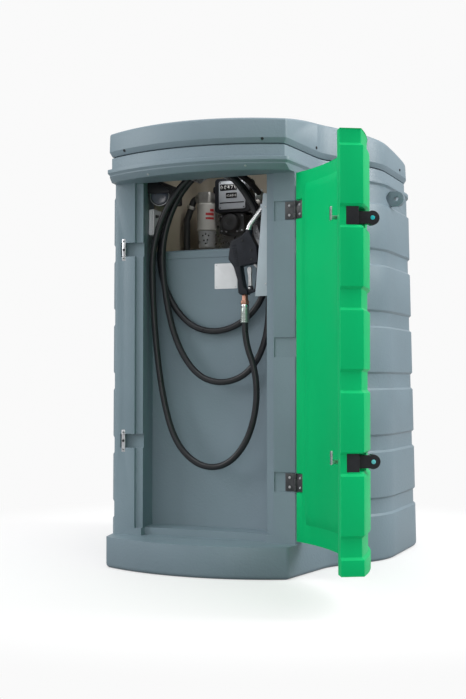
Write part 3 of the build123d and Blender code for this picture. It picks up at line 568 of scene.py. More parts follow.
def turned(rings, place, way, sides=40, round_edge=0.0006):
    """A mesh turned on a lathe from rings of height and radius, standing at a place and facing a way."""
    shape = bmesh.new()
    loops = []
    for height, radius in rings:
        if radius == 0:
            loops.append([shape.verts.new((0, 0, height))])
        else:
            angles = [2 * pi * step / sides for step in range(sides)]
            loops.append([shape.verts.new((radius * cos(a), radius * sin(a), height)) for a in angles])
    for low, high in zip(loops, loops[1:]):
        for step in range(sides):
            after = (step + 1) % sides
            if len(low) == 1:
                shape.faces.new((low[0], high[after], high[step]))
            elif len(high) == 1:
                shape.faces.new((low[step], low[after], high[0]))
            else:
                shape.faces.new((low[step], low[after], high[after], high[step]))
    bmesh.ops.recalc_face_normals(shape, faces=shape.faces)
    turn = Vector(way).to_track_quat("Z", "Y").to_matrix().to_4x4()
    shape.transform(Matrix.Translation(place) @ turn)
    mesh = as_mesh(shape)
    return baked(mesh, rounding(round_edge, 2, 30)) if round_edge else mesh


def joined(*meshes):
    """Several meshes as one."""
    shape = bmesh.new()
    for mesh in meshes:
        shape.from_mesh(mesh)
    return as_mesh(shape)


def shut_end(node):
    """How far a latch piece stands out of the door, measured with the door shut."""
    solid = frame["nodes"][node]
    return min((door_turn.inverted() @ solid.matrix_world @ point.co).y for point in solid.data.vertices)


def housing_block(node, face):
    """The latch's housing behind a flat face, as a mesh."""
    solid = frame["nodes"][node]
    shape = bmesh.new()
    shape.from_mesh(solid.data)
    bmesh.ops.transform(shape, matrix=door_turn.inverted() @ solid.matrix_world, verts=shape.verts)
    bmesh.ops.remove_doubles(shape, verts=shape.verts, dist=2e-5)
    whole = shape.verts[:] + shape.edges[:] + shape.faces[:]
    bmesh.ops.bisect_plane(shape, geom=whole, plane_co=(0, face, 0), plane_no=(0, -1, 0), clear_outer=True)
    open_edges = [edge for edge in shape.edges if edge.is_boundary]
    bmesh.ops.holes_fill(shape, edges=open_edges, sides=0)
    bmesh.ops.transform(shape, matrix=door_turn, verts=shape.verts)
    return baked(as_mesh(shape), rounding(0.002))


for height, cap in (("upper", teal_plastic), ("lower", pale_teal)):
    z = latch_heights[height]
    tip = shut_end(height + "_latch_knob") + paddle_trim
    base = tip + paddle_length
    middle = tip + paddle_half
    round_end = [
        (middle - paddle_half * cos(radians(angle)), paddle_half * sin(radians(angle)))
        for angle in range(-90, 91, 10)
    ]
    shoulder = tip + paddle_shoulder
    shank = [(shoulder, paddle_half), (shoulder + paddle_ease, paddle_waist), (base, paddle_waist)]
    shank += [(y, -up) for y, up in reversed(shank)]
    outline = [(y, z + up) for y, up in round_end + shank]
    paddle = pressed(outline, -paddle_depth / 2, paddle_depth / 2, edge=0.004, segments=4)
    side_on = Matrix.Translation((latch_x, 0, 0)) @ Matrix.Rotation(pi / 2, 4, "Z")
    paddle.transform(door_turn @ side_on)
    neck_place = door_turn @ Vector((latch_x, base - neck_sunk, z))
    neck = turned(paddle_neck_rings, neck_place, door_turn.to_3x3() @ Vector((0, 1, 0)), 32)
    latch = height + "_latch"
    fitted(latch + "_paddle", joined(paddle, neck), black_plastic, latch, [latch + "_knob"])
    cap_place = door_turn @ Vector((latch_x - paddle_depth / 2, middle, z))
    cap_mesh = turned(latch_cap_rings, cap_place, door_turn.to_3x3() @ Vector((-1, 0, 0)), 32)
    fitted(latch + "_cap", cap_mesh, cap, latch, [latch + "_button"])
    block = housing_block(latch + "_housing", base + housing_gap)
    fitted(latch + "_block", block, black_plastic, "door", [latch + "_housing"])
    softened(latch + "_bolt", zinc, edge=0.0008)
    softened(height + "_strike_plate", zinc, edge=0.0008)
strike_screws = front_seats([strike_x], strike_face, paired(strike_heights, strike_screw_gap))
screws("strike_screws", strike_screws, zinc, head=(0.0052, 0.002))
# A shallow dark steel disc in each strike plate's hole is painted shade: it stands for the shade inside the
# hole.
hole_shade_rings = [(0, 0), (0, strike_hole), (0.0006, strike_hole), (0.0006, strike_hole - 0.001), (0.0002, 0)]
strike_hole_shade = [turned(hole_shade_rings, (strike_x, strike_face, z), (0, -1, 0), 24, 0) for z in strike_heights]
fitted("strike_hole_shade", joined(*strike_hole_shade), dark_steel)


# Hose hook and lintel
# A zinc plated half round former on the back of the lintel, over which the hose hangs. Two small grey
# caps close the lintel's screw holes.
lintel_caps = [
    ((-0.1826, -0.6802, 1.6068), (-0.14, -0.64, -0.76)), ((0.2373, -0.674, 1.613), (0.17, -0.62, -0.76)),
]

white_plastic = finish(
    "white_plastic", (0.72, 0.74, 0.76, 1), 0.35, mottle=0.04, blot=0.05, peel=0.002, peel_depth=0.00005
)
cap_grey = finish("cap_grey", (0.30, 0.33, 0.35, 1), 0.4, mottle=0.04)
softened("hose_hook", zinc, edge=0.0012)
lintel_cap_rings = [(0, 0.0048), (0.001, 0.0048), (0.002, 0.004), (0.0026, 0.002), (0.0027, 0)]
caps = [turned(lintel_cap_rings, *seat, 24) for seat in lintel_caps]
fitted("lintel_caps", joined(*caps), cap_grey)


# Plate on the back wall
# A thin white plastic plate with round corners, held by four small rivets. It is bare.
plate_x = (-0.007, 0.096)
plate_z = (1.157, 1.264)
plate_face = -0.400
plate_thickness = 0.0016
rivet_inset = 0.008


def box_outline(x, z):
    """The four corners of an upright box in X and Z."""
    return [(x[0], z[0]), (x[1], z[0]), (x[1], z[1]), (x[0], z[1])]


plate_front = plate_face - plate_thickness
wall_plate = pressed(box_outline(plate_x, plate_z), plate_front, plate_face, edge=0.0004, corner=0.004)
fitted("wall_plate", wall_plate, white_plastic)
plate_rivets = front_seats(
    (plate_x[0] + rivet_inset, plate_x[1] - rivet_inset), plate_front,
    (plate_z[0] + rivet_inset, plate_z[1] - rivet_inset),
)
screws("plate_rivets", plate_rivets, zinc, head=(0.0028, 0.0012), recess=(0.001, 0.0005))


# Gauge box, hood and dial on the left wall
# A white moulded box with cable glands. Over it are a black hood with a grey ribbed band, and a round
# dial under a short visor.
gauge_low, gauge_high = (Vector(corner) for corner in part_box("gauge_box"))
hood_low, hood_high = (Vector(corner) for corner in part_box("vent_hood"))
hood_rib_count = 9
hood_rib_size = (0.003, 0.007, 0.040)
hood_rib_step = (0.0, 0.0105, 0.0)
end_rib_count = 4
end_rib_size = (0.005, 0.003, 0.040)
end_rib_step = (0.0082, 0.0, 0.0)
rib_proud = 0.0005
side_rib_inset = 0.028
end_rib_inset = 0.009
gland_inset = 0.022
gland_drop = 0.03
gland_rise = 0.032
seam_x = (0.016, 0.0175)
seam_y = (-0.0004, 0.002)
seam_inset = 0.006
cover_screw_inset = 0.012
dial_way = (0.25, -0.97, 0)
visor_front = -0.478
visor_back = -0.469

softened("gauge_box", white_plastic, edge=0.003)
gland_rings = [(-0.001, 0.0075), (0.004, 0.0075), (0.004, 0.006), (0.011, 0.006), (0.013, 0.004), (0.013, 0)]
glands = [
    turned(gland_rings, (gauge_high.x, gauge_low.y + gland_inset, z), (1, 0, 0), 6)
    for z in (gauge_high.z - gland_drop, gauge_low.z + gland_rise)
]
fitted("gauge_glands", joined(*glands), black_plastic)
cover_screws = [
    ((gauge_high.x, y, z), (1, 0, 0))
    for y in (gauge_low.y + cover_screw_inset, gauge_high.y - cover_screw_inset)
    for z in (gauge_low.z + cover_screw_inset, gauge_high.z - cover_screw_inset)
]
screws("gauge_screws", cover_screws, zinc, head=(0.0035, 0.0014), recess=(0.0014, 0.0007))
seam_across = (gauge_low.x + seam_x[0], gauge_low.x + seam_x[1])
seam_up = (gauge_low.z + seam_inset, gauge_high.z - seam_inset)
cover_seam = pressed(
    box_outline(seam_across, seam_up), gauge_low.y + seam_y[0], gauge_low.y + seam_y[1], edge=0
)
fitted("gauge_seam", cover_seam, dark_steel)

softened("vent_hood", black_plastic, edge=0.008, segments=4)

# A row of like ribs: a bar with soft edges, repeated along a line from every point
rib_sizes = {"Rib count": 5, "Rib step": (0.0, 0.01, 0.0), "Rib size": (0.003, 0.004, 0.04), "Finish": ""}
rib_tree, given, result = node_tree("ribs", rib_sizes)
line = add_node(
    rib_tree, "GeometryNodeMeshLine", {"mode": "OFFSET"}, Count=given.outputs["Rib count"],
    Offset=given.outputs["Rib step"],
)
bar = add_node(rib_tree, "GeometryNodeMeshCube", Size=given.outputs["Rib size"])
soft_bar = add_node(
    rib_tree, "GeometryNodeSubdivisionSurface", Mesh=bar.outputs["Mesh"], Level=2, Edge_Crease=0.82
)
row = add_node(
    rib_tree, "GeometryNodeInstanceOnPoints", Points=line.outputs["Mesh"], Instance=soft_bar.outputs["Mesh"]
)
one_row = add_node(rib_tree, "GeometryNodeRealizeInstances", Geometry=row.outputs["Instances"])
rows = add_node(
    rib_tree, "GeometryNodeInstanceOnPoints", Points=given.outputs["Geometry"],
    Instance=one_row.outputs["Geometry"],
)
solid = add_node(rib_tree, "GeometryNodeRealizeInstances", Geometry=rows.outputs["Instances"])
coat(rib_tree, given, solid, result)


def ribs(name, start, step, count, size, material, body="tank", turn=None):
    """A row of ribs from a starting place."""
    seat = bpy.data.meshes.new(name)
    seat.from_pydata([(0, 0, 0) if turn else start], [], [])
    sizes = {"Rib count": count, "Rib step": step, "Rib size": size, "Finish": material}
    mesh = grown(seat, rib_tree, sizes)
    if turn:
        mesh.transform(Matrix.Translation(start) @ turn)
    return fitted(name, mesh, material, body)


dial_rings = [
    (0, 0), (0, 0.036), (0.008, 0.041), (0.030, 0.0425), (0.034, 0.0425), (0.036, 0.040), (0.036, 0.037),
    (0.0335, 0.036), (0.0335, 0),
]
dial_back = (-0.2435, -0.430, 1.556)
fitted("gauge_dial", turned(dial_rings, dial_back, dial_way, 48), black_plastic)
dial_metal = finish("dial_metal", (0.22, 0.23, 0.24, 1), 0.35, mottle=0.1, metallic=0.8)
dial_rim_rings = [
    (0.0355, 0.0395), (0.0362, 0.0425), (0.0375, 0.0425), (0.0382, 0.0395), (0.0375, 0.0385),
    (0.0362, 0.0385), (0.0355, 0.0395),
]
dial_rim = turned(dial_rim_rings, dial_back, dial_way, 48, round_edge=0)
fitted("dial_rim", dial_rim, dial_metal)
glass_grey = finish("glass_grey", (0.05, 0.06, 0.08, 1), 0.15, blot=0.03, peel=0.002, peel_depth=0.00001)
glass_rings = [(0.033, 0), (0.033, 0.0355), (0.0345, 0.0355), (0.036, 0.020), (0.0365, 0)]
fitted("dial_glass", turned(glass_rings, dial_back, dial_way, 48), glass_grey)
visor_shape = [
    (-0.285, 1.636), (-0.256, 1.630), (-0.212, 1.597), (-0.182, 1.578), (-0.182, 1.566), (-0.285, 1.566),
]
visor = pressed(visor_shape, visor_front, visor_back, edge=0.002, corner=0.004)
fitted("hood_visor", visor, black_plastic)
grey_rib = finish("grey_rib", (0.12, 0.125, 0.135, 1), 0.45, mottle=0.1, blot=0.02, peel_depth=0.0002)
rib_z = (hood_low.z + hood_high.z) / 2
side_start = (hood_high.x + rib_proud, hood_low.y + side_rib_inset, rib_z)
ribs("hood_ribs", side_start, hood_rib_step, hood_rib_count, hood_rib_size, grey_rib)
end_start = (hood_low.x + end_rib_inset, hood_low.y - rib_proud, rib_z)
ribs("hood_end_ribs", end_start, end_rib_step, end_rib_count, end_rib_size, grey_rib)


# Pump
# A black cast pump with a round motor cap stands on a zinc plated bracket in the inner tank's well.
# Its covers are bolted on.
motor_low, motor_high = (Vector(corner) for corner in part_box("pump_motor"))
motor_middle = (motor_low + motor_high) / 2
bracket_low, bracket_high = (Vector(corner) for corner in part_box("pump_bracket"))
motor_radius = (motor_high.x - motor_low.x) / 2

cast_black = finish(
    "cast_black", (0.024, 0.024, 0.026, 1), 0.5, mottle=0.2, blot=0.02, peel=0.0016, peel_depth=0.0003
)
softened("pump_bracket", zinc, edge=0.0012)
softened("pump_body", cast_black, edge=0.004)
fins = motor_radius - 0.0025
motor_rings = [
    (0, 0), (0, motor_radius), (0.006, motor_radius), (0.0075, fins), (0.010, fins), (0.0115, motor_radius),
    (0.015, motor_radius), (0.0165, fins), (0.019, fins), (0.0205, motor_radius), (0.028, motor_radius),
    (0.034, motor_radius - 0.007), (0.034, 0.016), (0.0325, 0.014), (0.0325, 0),
]
fitted(
    "motor_cap", turned(motor_rings, (motor_middle.x, motor_high.y, motor_middle.z), (0, -1, 0), 48),
    cast_black, "tank", ["pump_motor"],
)
pump_face = -0.115
cover_bolt_x = 0.049
cover_bolt_z = 0.033
foot_bolt_drop = 0.0365
foot_bolt_x = 0.026
bracket_bolt_inset = 0.018
bracket_bolt_sunk = 0.005
bracket_bolt_rise = 0.10
bracket_bolt_drop = 0.03
pump_bolts = front_seats(
    (motor_middle.x - cover_bolt_x, motor_middle.x + cover_bolt_x), pump_face,
    (motor_middle.z - cover_bolt_z, motor_middle.z + cover_bolt_z),
)
pump_bolts += front_seats(
    (motor_middle.x - foot_bolt_x, motor_middle.x, motor_middle.x + foot_bolt_x), pump_face,
    [motor_middle.z - foot_bolt_drop],
)
screws("pump_bolts", pump_bolts, zinc, head=(0.0048, 0.004), recess=(0.0022, 0.0018))
bracket_bolts = front_seats(
    (bracket_low.x + bracket_bolt_inset, bracket_high.x - bracket_bolt_inset),
    bracket_high.y - bracket_bolt_sunk,
    (bracket_low.z + bracket_bolt_rise, bracket_high.z - bracket_bolt_drop),
)
screws("bracket_bolts", bracket_bolts, zinc, head=(0.007, 0.0045), recess=(0.0035, 0.002))


# Flow meter
# A black housing with a grey silver face, on which are a counter window with five number wheels, a
# small total window and a black bar. A knob on its left side resets it.
face_low, face_high = (Vector(corner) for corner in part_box("meter_face"))
face_middle = (face_low + face_high) / 2
window_x = (-0.057, 0.024)
window_z = (0.020, 0.049)
total_x = (-0.028, 0.024)
total_z = (-0.015, 0.010)
bar_x = (-0.058, 0.058)
bar_z = (-0.037, -0.032)
digit_height = 0.021
digit_step = 0.0165
small_digit_height = 0.012
small_digit_step = 0.0082
digit_start = (0.0085, 0.0275)
small_digit_start = (0.0058, -0.0065)
digit_proud = 0.0011
face_screw_reach = 0.056

meter_grey = finish("meter_grey", (0.40, 0.42, 0.45, 1), 0.35, blot=0.03, metallic=0.3)
window_black = finish(
    "window_black", (0.012, 0.012, 0.014, 1), 0.18, mottle=0.1, blot=0.02, peel_depth=0.00001
)
digit_white = finish("digit_white", (0.62, 0.62, 0.60, 1), 0.5, blot=0.005, peel=0.0005, peel_depth=0.00001)
softened("flow_meter", black_plastic, edge=0.003)
softened("meter_face", meter_grey, edge=0.0012)


def on_face(x, z):
    """An outline's ends on the meter's face, in X and Z."""
    across = (face_middle.x + x[0], face_middle.x + x[1])
    up = (face_middle.z + z[0], face_middle.z + z[1])
    return box_outline(across, up)


face_front = face_low.y
panels = [
    pressed(on_face(window_x, window_z), face_front - 0.001, face_front + 0.001, 0.0004, 0.003),
    pressed(on_face(total_x, total_z), face_front - 0.001, face_front + 0.001, 0.0004, 0.002),
    pressed(on_face(bar_x, bar_z), face_front - 0.0006, face_front + 0.001, 0.0003),
]
fitted("meter_windows", joined(*panels), window_black)


def digits(words, left, foot, height, step):
    """Numerals that stand on the meter's windows, one mesh for all."""
    meshes = []
    for index, word in enumerate(words):
        writing = bpy.data.curves.new("digit", "FONT")
        writing.body = word
        writing.size = height
        writing.extrude = 0.0001
        writing.align_x = "CENTER"
        holder = bpy.data.objects.new("digit", writing)
        collection.objects.link(holder)
        mesh = applied(holder)
        place = (left + index * step, face_front - digit_proud, foot)
        mesh.transform(Matrix.Translation(place) @ Matrix.Rotation(pi / 2, 4, "X"))
        meshes.append(mesh)
    return joined(*meshes)


big_left = face_middle.x + window_x[0] + digit_start[0]
big = digits("00470", big_left, face_middle.z + digit_start[1], digit_height, digit_step)
small_left = face_middle.x + total_x[0] + small_digit_start[0]
small_foot = face_middle.z + small_digit_start[1]
small = digits("026815", small_left, small_foot, small_digit_height, small_digit_step)
fitted("meter_digits", joined(big, small), digit_white)
face_screws = front_seats(
    paired([face_middle.x], face_screw_reach), face_front, paired([face_middle.z], face_screw_reach)
)
screws("meter_screws", face_screws, dark_steel, head=(0.0032, 0.0012), recess=(0.0013, 0.0007))


# Filter
# A spin-on canister in off white enamel hangs from a cast head. A milky bowl under it collects
# water. Red bars are printed on the canister.
canister_low, canister_high = (Vector(corner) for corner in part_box("filter_canister"))
bowl_low, bowl_high = (Vector(corner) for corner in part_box("filter_bowl"))
filter_middle = (canister_low + canister_high) / 2
canister_radius = (canister_high.x - canister_low.x) / 2
bowl_radius = (bowl_high.x - bowl_low.x) / 2
canister_height = canister_high.z - canister_low.z
bowl_height = bowl_high.z - bowl_low.z
bar_angles = (-75, -22)
bars = ((0.050, 0.060, 0.0), (0.068, 0.080, 0.0), (0.086, 0.098, 0.5))

cast_metal = finish(
    "cast_metal", (0.33, 0.32, 0.30, 1), 0.45, mottle=0.15, blot=0.02, peel=0.0014,
    peel_depth=0.0003, metallic=0.7
)
enamel = finish(
    "enamel", (0.46, 0.45, 0.42, 1), 0.35, mottle=0.04, blot=0.06, peel=0.002, peel_depth=0.00004
)
red_print = finish("red_print", (0.40, 0.03, 0.035, 1), 0.4, mottle=0.06, peel_depth=0.00002)
softened("filter_head", cast_metal, edge=0.004)
softened("filter_pipe", cast_metal, edge=0.001)
canister_rings = [
    (0, 0), (0, canister_radius - 0.004), (0.003, canister_radius), (0.008, canister_radius),
    (0.012, canister_radius - 0.0015), (canister_height - 0.016, canister_radius - 0.0015),
    (canister_height - 0.012, canister_radius), (canister_height - 0.004, canister_radius),
    (canister_height, canister_radius - 0.003), (canister_height, 0),
]
foot = (filter_middle.x, filter_middle.y, canister_low.z)
canister = turned(canister_rings, foot, (0, 0, 1), 64)
fitted("canister_shell", canister, enamel, "tank", ["filter_canister"])


def wrapped_bar(low, high, share):
    """A printed bar that lies on the canister between two heights and two angles."""
    radius = canister_radius - 0.0012
    left = bar_angles[0] + (bar_angles[1] - bar_angles[0]) * share
    steps = 10
    shape = bmesh.new()
    angles = [radians(left + (bar_angles[1] - left) * step / steps) for step in range(steps + 1)]
    rows_of_points = [
        [shape.verts.new((foot[0] + radius * cos(a), foot[1] + radius * sin(a), foot[2] + z)) for a in angles]
        for z in (low, high)
    ]
    for step in range(steps):
        lower, upper = rows_of_points
        shape.faces.new((lower[step], lower[step + 1], upper[step + 1], upper[step]))
    return baked(as_mesh(shape), ("SOLIDIFY", {"thickness": 0.0003, "offset": 0.0}))


fitted("canister_bars", joined(*[wrapped_bar(*bar) for bar in bars]), red_print)

clear_bowl, bowl_tree = new_material("clear_bowl")
bowl_shader = bowl_tree.nodes["Principled BSDF"]
bowl_shader.inputs["Base Color"].default_value = (0.52, 0.54, 0.55, 1)
bowl_shader.inputs["Transmission Weight"].default_value = 0.3
bowl_shader.inputs["IOR"].default_value = 1.45
bowl_haze = noise(bowl_tree, add_node(bowl_tree, "ShaderNodeTexCoord"), 0.02)
bowl_gloss = ranged(bowl_tree, bowl_haze.outputs["Fac"], 0.25, 0.4)
bowl_tree.links.new(bowl_gloss, bowl_shader.inputs["Roughness"])
bowl_wall = 0.003
bowl_rings = [
    (0, 0), (0, bowl_radius - 0.010), (0.002, bowl_radius - 0.006), (0.006, bowl_radius - 0.003),
    (bowl_height - 0.010, bowl_radius - 0.001), (bowl_height - 0.008, bowl_radius),
    (bowl_height, bowl_radius), (bowl_height, bowl_radius - bowl_wall),
    (0.010, bowl_radius - 0.004 - bowl_wall), (bowl_wall, bowl_radius - 0.010 - bowl_wall), (bowl_wall, 0),
]
bowl_foot = (filter_middle.x, filter_middle.y, bowl_low.z)
bowl = turned(bowl_rings, bowl_foot, (0, 0, 1), 64)
fitted("bowl_shell", bowl, clear_bowl, "tank", ["filter_bowl"])
core_rings = [
    (0.006, 0), (0.006, 0.010), (0.020, 0.012), (0.024, 0.022), (0.030, 0.024), (0.036, 0.022),
    (0.040, 0.014), (bowl_height - 0.001, 0.014), (bowl_height - 0.001, 0),
]
fitted("bowl_core", turned(core_rings, bowl_foot, (0, 0, 1), 32), white_plastic)
stud_places = ((-6, 0.056), (14, 0.062), (34, 0.056), (2, 0.034), (26, 0.036), (14, 0.020))
stud_sunk = 0.0025
stud_ring = bowl_radius - stud_sunk
bowl_studs = [
    (
        (filter_middle.x + stud_ring * sin(a), filter_middle.y - stud_ring * cos(a), bowl_low.z + rise),
        (sin(a), -cos(a), 0),
    )
    for a, rise in ((radians(angle), rise) for angle, rise in stud_places)
]
screws("bowl_studs", bowl_studs, dark_steel, head=(0.0042, 0.002), recess=(0.001, 0.0006))


# Pipes
# The suction pipe climbs from the tank to the filter's head, and a cast elbow leads from the meter to
# the hose. Hexagonal nuts hold the pipe, and a round collar holds the elbow.
_, suction_high = (Vector(corner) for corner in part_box("suction_pipe"))
elbow_low, _ = (Vector(corner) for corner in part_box("outlet_elbow"))
suction_rubber = finish(
    "suction_rubber", (0.02, 0.02, 0.021, 1), 0.5, mottle=0.12, blot=0.03, peel=0.0015, peel_depth=0.0002
)
softened("suction_pipe", suction_rubber, edge=0.001)
softened("outlet_elbow", cast_metal, edge=0.001)
suction_nut_rings = [(0, 0), (0, 0.018), (0.002, 0.0205), (0.014, 0.0205), (0.016, 0.018), (0.016, 0)]
suction_nuts = [
    turned(suction_nut_rings, (suction_high.x - 0.0165, -0.118, 1.594), (1, 0, 0), 6),
    turned(suction_nut_rings, (-0.2375, -0.118, 1.564), (-0.358, 0, -0.934), 6),
]
fitted("suction_nuts", joined(*suction_nuts), cast_metal)
elbow_collar_rings = [(0, 0), (0, 0.0185), (0.003, 0.020), (0.012, 0.020), (0.015, 0.0185), (0.015, 0)]
elbow_collar = turned(elbow_collar_rings, (elbow_low.x, -0.1205, 1.5611), (1, 0, 0), 32)
fitted("elbow_collar", elbow_collar, cast_metal)


# Fuel hose
# Six and a half metres of smooth black fuel hose, hung in three loops over the hook in the cabinet.
# It leaves the meter's elbow, and ends in the swivel of the nozzle.
hose_diameter = 0.0265
hose_route = [
    (0.118, -0.205, 1.590), (0.118, -0.334, 1.632), (0.032, -0.420, 1.672), (-0.085, -0.421, 1.668),
    (-0.195, -0.420, 1.540), (-0.262, -0.420, 1.350), (-0.235, -0.420, 1.160), (-0.130, -0.420, 1.010),
    (0, -0.421, 0.968), (0.135, -0.422, 1.010), (0.235, -0.425, 1.130), (0.255, -0.430, 1.330),
    (0.180, -0.440, 1.530), (0.062, -0.448, 1.655), (-0.062, -0.449, 1.655), (-0.175, -0.449, 1.525),
    (-0.235, -0.449, 1.340), (-0.215, -0.449, 1.130), (-0.165, -0.449, 0.930), (-0.070, -0.449, 0.790),
    (0.050, -0.450, 0.755), (0.170, -0.451, 0.800), (0.245, -0.453, 0.930), (0.262, -0.456, 1.130),
    (0.250, -0.461, 1.340), (0.175, -0.470, 1.530), (0.062, -0.476, 1.655), (-0.062, -0.477, 1.655),
    (-0.185, -0.478, 1.530), (-0.262, -0.479, 1.345), (-0.258, -0.480, 1.130), (-0.240, -0.481, 0.900),
    (-0.205, -0.482, 0.680), (-0.150, -0.484, 0.510), (-0.045, -0.486, 0.415), (0.075, -0.488, 0.415),
    (0.170, -0.490, 0.510), (0.218, -0.493, 0.660), (0.215, -0.497, 0.810), (0.168, -0.500, 0.930),
    (0.168, -0.500, 1.006),
]
tail_start = Vector(hose_route[0])
tail_way = (tail_start - Vector(hose_route[1])).normalized()
nozzle_inlet = (0.168, -0.500, 1.121)
crimp_radius = 0.018
crimp_pitch = 0.007

ferrule_metal = finish(
    "ferrule_metal", (0.36, 0.40, 0.38, 1), 0.35, mottle=0.12, blot=0.008, peel_depth=0.00005, metallic=0.8
)
ferrule_rings = [(0, 0), (0, crimp_radius - 0.002)]
for crimp in range(4):
    ferrule_rings += [
        (0.002 + crimp_pitch * crimp, crimp_radius), (0.0055 + crimp_pitch * crimp, crimp_radius),
        (0.0065 + crimp_pitch * crimp, crimp_radius - 0.0016),
        (0.008 + crimp_pitch * crimp, crimp_radius - 0.0016),
    ]
ferrule_rings += [(0.031, crimp_radius), (0.034, crimp_radius), (0.034, 0)]
fitted(
    "meter_tail", turned(ferrule_rings, tail_start, tail_way, 40), ferrule_metal, "tank",
    ["meter_hose_tail"],
)
nozzle_tail = fitted(
    "nozzle_tail", turned(ferrule_rings, hose_route[-1], (0, 0, 1), 40), ferrule_metal, "tank",
    ["nozzle_hose_tail"],
)

hose_rubber = finish(
    "hose_rubber", (0.017, 0.018, 0.021, 1), 0.32, mottle=0.12, blot=0.05, peel=0.0012,
    peel_depth=0.00005, gloss=0.3
)
hose_line = bpy.data.curves.new("hose", "CURVE")
hose_line.dimensions = "3D"
spline = hose_line.splines.new("NURBS")
spline.points.add(len(hose_route) - 1)
for point, place in zip(spline.points, hose_route):
    point.co = (*place, 1)
spline.order_u = 3
spline.use_endpoint_u = True
spline.resolution_u = 10
hose_line.bevel_depth = hose_diameter / 2
hose_line.bevel_resolution = 6
hose_line.use_fill_caps = True
hose_line.materials.append(hose_rubber)
hose = bpy.data.objects.new("hose", hose_line)
collection.objects.link(hose)
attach(hose, "tank")
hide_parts("fuel_hose")


# Nozzle
# A cast body in black enamel with a rounded hand grip, a drawn aluminium spout and lever, and a steel
# guard. It turns on a plated brass swivel at the hose's end.
nozzle_y = -0.500
body_depth = 0.042
body_shape = [
    (0.151, 1.121), (0.185, 1.121), (0.185, 1.134), (0.172, 1.150), (0.164, 1.185), (0.156, 1.236),
    (0.231, 1.250), (0.226, 1.312), (0.199, 1.366), (0.194, 1.373), (0.172, 1.373), (0.160, 1.360),
    (0.112, 1.339), (0.103, 1.266), (0.126, 1.235), (0.143, 1.180),
]
lever_shape = [
    (0.184, 1.140), (0.199, 1.140), (0.199, 1.160), (0.1965, 1.200), (0.1985, 1.222), (0.197, 1.233),
    (0.190, 1.236), (0.181, 1.231), (0.179, 1.220), (0.184, 1.196),
]
tab_shape = [
    (0.206, 1.2435), (0.214, 1.245), (0.222, 1.238), (0.2285, 1.226), (0.2235, 1.223), (0.216, 1.233),
    (0.209, 1.237),
]
grip_shape = [
    (0.1475, 1.126), (0.1810, 1.126), (0.1685, 1.150), (0.1605, 1.185), (0.1520, 1.232), (0.1300, 1.230),
    (0.1450, 1.180),
]
grip_proud = 0.0015
lever_half = 0.006
tab_half = 0.005
nut_length = 0.040
collar_length = 0.012
lever_pivot = (0.191, 1.146)
pin_reach = 0.010

nozzle_black = finish(
    "nozzle_black", (0.007, 0.009, 0.015, 1), 0.42, mottle=0.2, blot=0.03, peel=0.0018,
    peel_depth=0.00025, gloss=0.3
)
spout_metal = finish(
    "spout_metal", (0.60, 0.61, 0.62, 1), 0.28, mottle=0.08, blot=0.015, peel=0.0008, metallic=0.9
)
lever_metal = finish(
    "lever_metal", (0.50, 0.51, 0.52, 1), 0.4, mottle=0.1, peel=0.0012, peel_depth=0.0001, metallic=0.5
)
copper = finish(
    "copper", (0.52, 0.27, 0.20, 1), 0.32, mottle=0.12, blot=0.008, peel_depth=0.00004, metallic=0.85
)
chrome = finish("chrome", (0.75, 0.76, 0.77, 1), 0.14, peel_depth=0.00001, metallic=1.0)

half_body = body_depth / 2
handle = pressed(body_shape, nozzle_y - half_body, nozzle_y + half_body, 0.011, 0.003, 5)
nozzle_neck_rings = [(0, 0), (0, 0.0165), (0.010, 0.0165), (0.020, 0.0145), (0.024, 0.0135), (0.024, 0)]
nozzle_neck = turned(nozzle_neck_rings, (0.1835, nozzle_y, 1.3615), (0.12, 0, 1), 32)
grip = pressed(
    grip_shape, nozzle_y - half_body - grip_proud, nozzle_y + half_body + grip_proud, edge=0.009,
    corner=0.003, segments=4,
)
nozzle_shell = joined(handle, nozzle_neck, grip)
fitted("nozzle_shell", nozzle_shell, nozzle_black, "tank", ["nozzle_body"])
ribs(
    "grip_ribs", (0.1395, nozzle_y - half_body - 0.0002, 1.2395), (0.0, 0.0, 0.0105), 9,
    (0.018, 0.0035, 0.005), nozzle_black, "tank", Matrix.Rotation(radians(-8), 4, "Y"),
)
side_screws = [
    ((x, nozzle_y - half_body, z), (0, -1, 0)) for x, z in ((0.203, 1.300), (0.165, 1.340), (0.205, 1.262))
]
screws("nozzle_screws", side_screws, dark_steel, head=(0.005, 0.0016), recess=(0.0022, 0.001))

softened("nozzle_spout", spout_metal, edge=0.0015)
spout_ring = [(0, 0), (0, 0.0128), (0.004, 0.0135), (0.010, 0.0128), (0.010, 0)]
fitted("spout_ring", turned(spout_ring, (0.1838, nozzle_y, 1.3835), (0.30, 0, 1), 32), chrome)

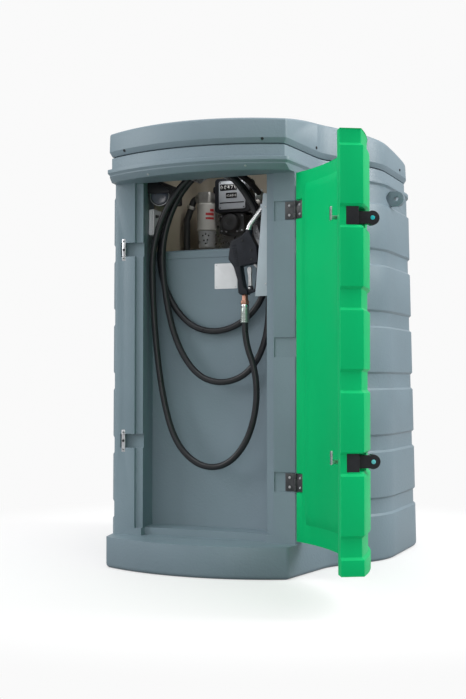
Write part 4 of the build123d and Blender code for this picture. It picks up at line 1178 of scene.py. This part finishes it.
lever = pressed(
    lever_shape, nozzle_y - lever_half, nozzle_y + lever_half, edge=0.0022, corner=0.003, segments=3
)
fitted("lever", lever, lever_metal, "trigger", ["nozzle_trigger"])
tab = pressed(tab_shape, nozzle_y - tab_half, nozzle_y + tab_half, edge=0.0015, corner=0.002, segments=3)
fitted("hold_open_tab", tab, lever_metal)
softened("nozzle_guard", nozzle_black, edge=0.0015)
pin_rings = [(0, 0), (0, 0.0046), (0.0012, 0.0046), (0.0022, 0.0034), (0.0022, 0)]
lever_pin = turned(pin_rings, (lever_pivot[0], nozzle_y - pin_reach, lever_pivot[1]), (0, -1, 0), 24)
fitted("lever_pin", lever_pin, chrome)

swivel_low, swivel_high = (Vector(corner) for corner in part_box("nozzle_swivel"))
nut_top = swivel_high.z
nut_foot = nut_top - nut_length
collar_foot = nut_foot - collar_length
swivel_at = (nozzle_inlet[0], nozzle_inlet[1])
swivel_nut_rings = [
    (0, 0), (0, 0.0165), (0.0025, 0.0185), (0.0135, 0.0185), (0.016, 0.0165), (0.016, 0.014),
    (nut_length, 0.013), (nut_length, 0),
]
swivel_nut = turned(swivel_nut_rings, (*swivel_at, nut_foot), (0, 0, 1), 6)
fitted("swivel_nut", swivel_nut, copper, "tank", ["nozzle_swivel"])
swivel_collar_rings = [
    (0, 0), (0, 0.0155), (0.003, 0.017), (0.009, 0.017), (collar_length, 0.0155), (collar_length, 0),
]
swivel_collar = turned(swivel_collar_rings, (*swivel_at, collar_foot), (0, 0, 1), 40)
fitted("swivel_collar", swivel_collar, chrome)
sleeve_length = collar_foot - swivel_low.z
sleeve_rings = [
    (0, 0), (0, 0.0165), (0.002, 0.017), (sleeve_length - 0.002, 0.0165), (sleeve_length, 0.0155),
    (sleeve_length, 0),
]
swivel_sleeve = turned(sleeve_rings, (*swivel_at, swivel_low.z), (0, 0, 1), 40)
fitted("swivel_sleeve", swivel_sleeve, ferrule_metal)


# Nozzle holster
# A folded plate in pale grey on the cabinet's right wall. The spout rests behind it, on a short bracket.
holster_grey = finish(
    "holster_grey", (0.33, 0.38, 0.43, 1), 0.42, mottle=0.04, blot=0.08, peel=0.002, peel_depth=0.00006
)
softened("nozzle_holster", holster_grey, edge=0.0018)
holster_screw_x = 0.2705
holster_screw_face = -0.5335
holster_screw_heights = (1.160, 1.470)
holster_screws = front_seats([holster_screw_x], holster_screw_face, holster_screw_heights)
screws("holster_screws", holster_screws, zinc, head=(0.0038, 0.0018), recess=(0.0016, 0.0009))
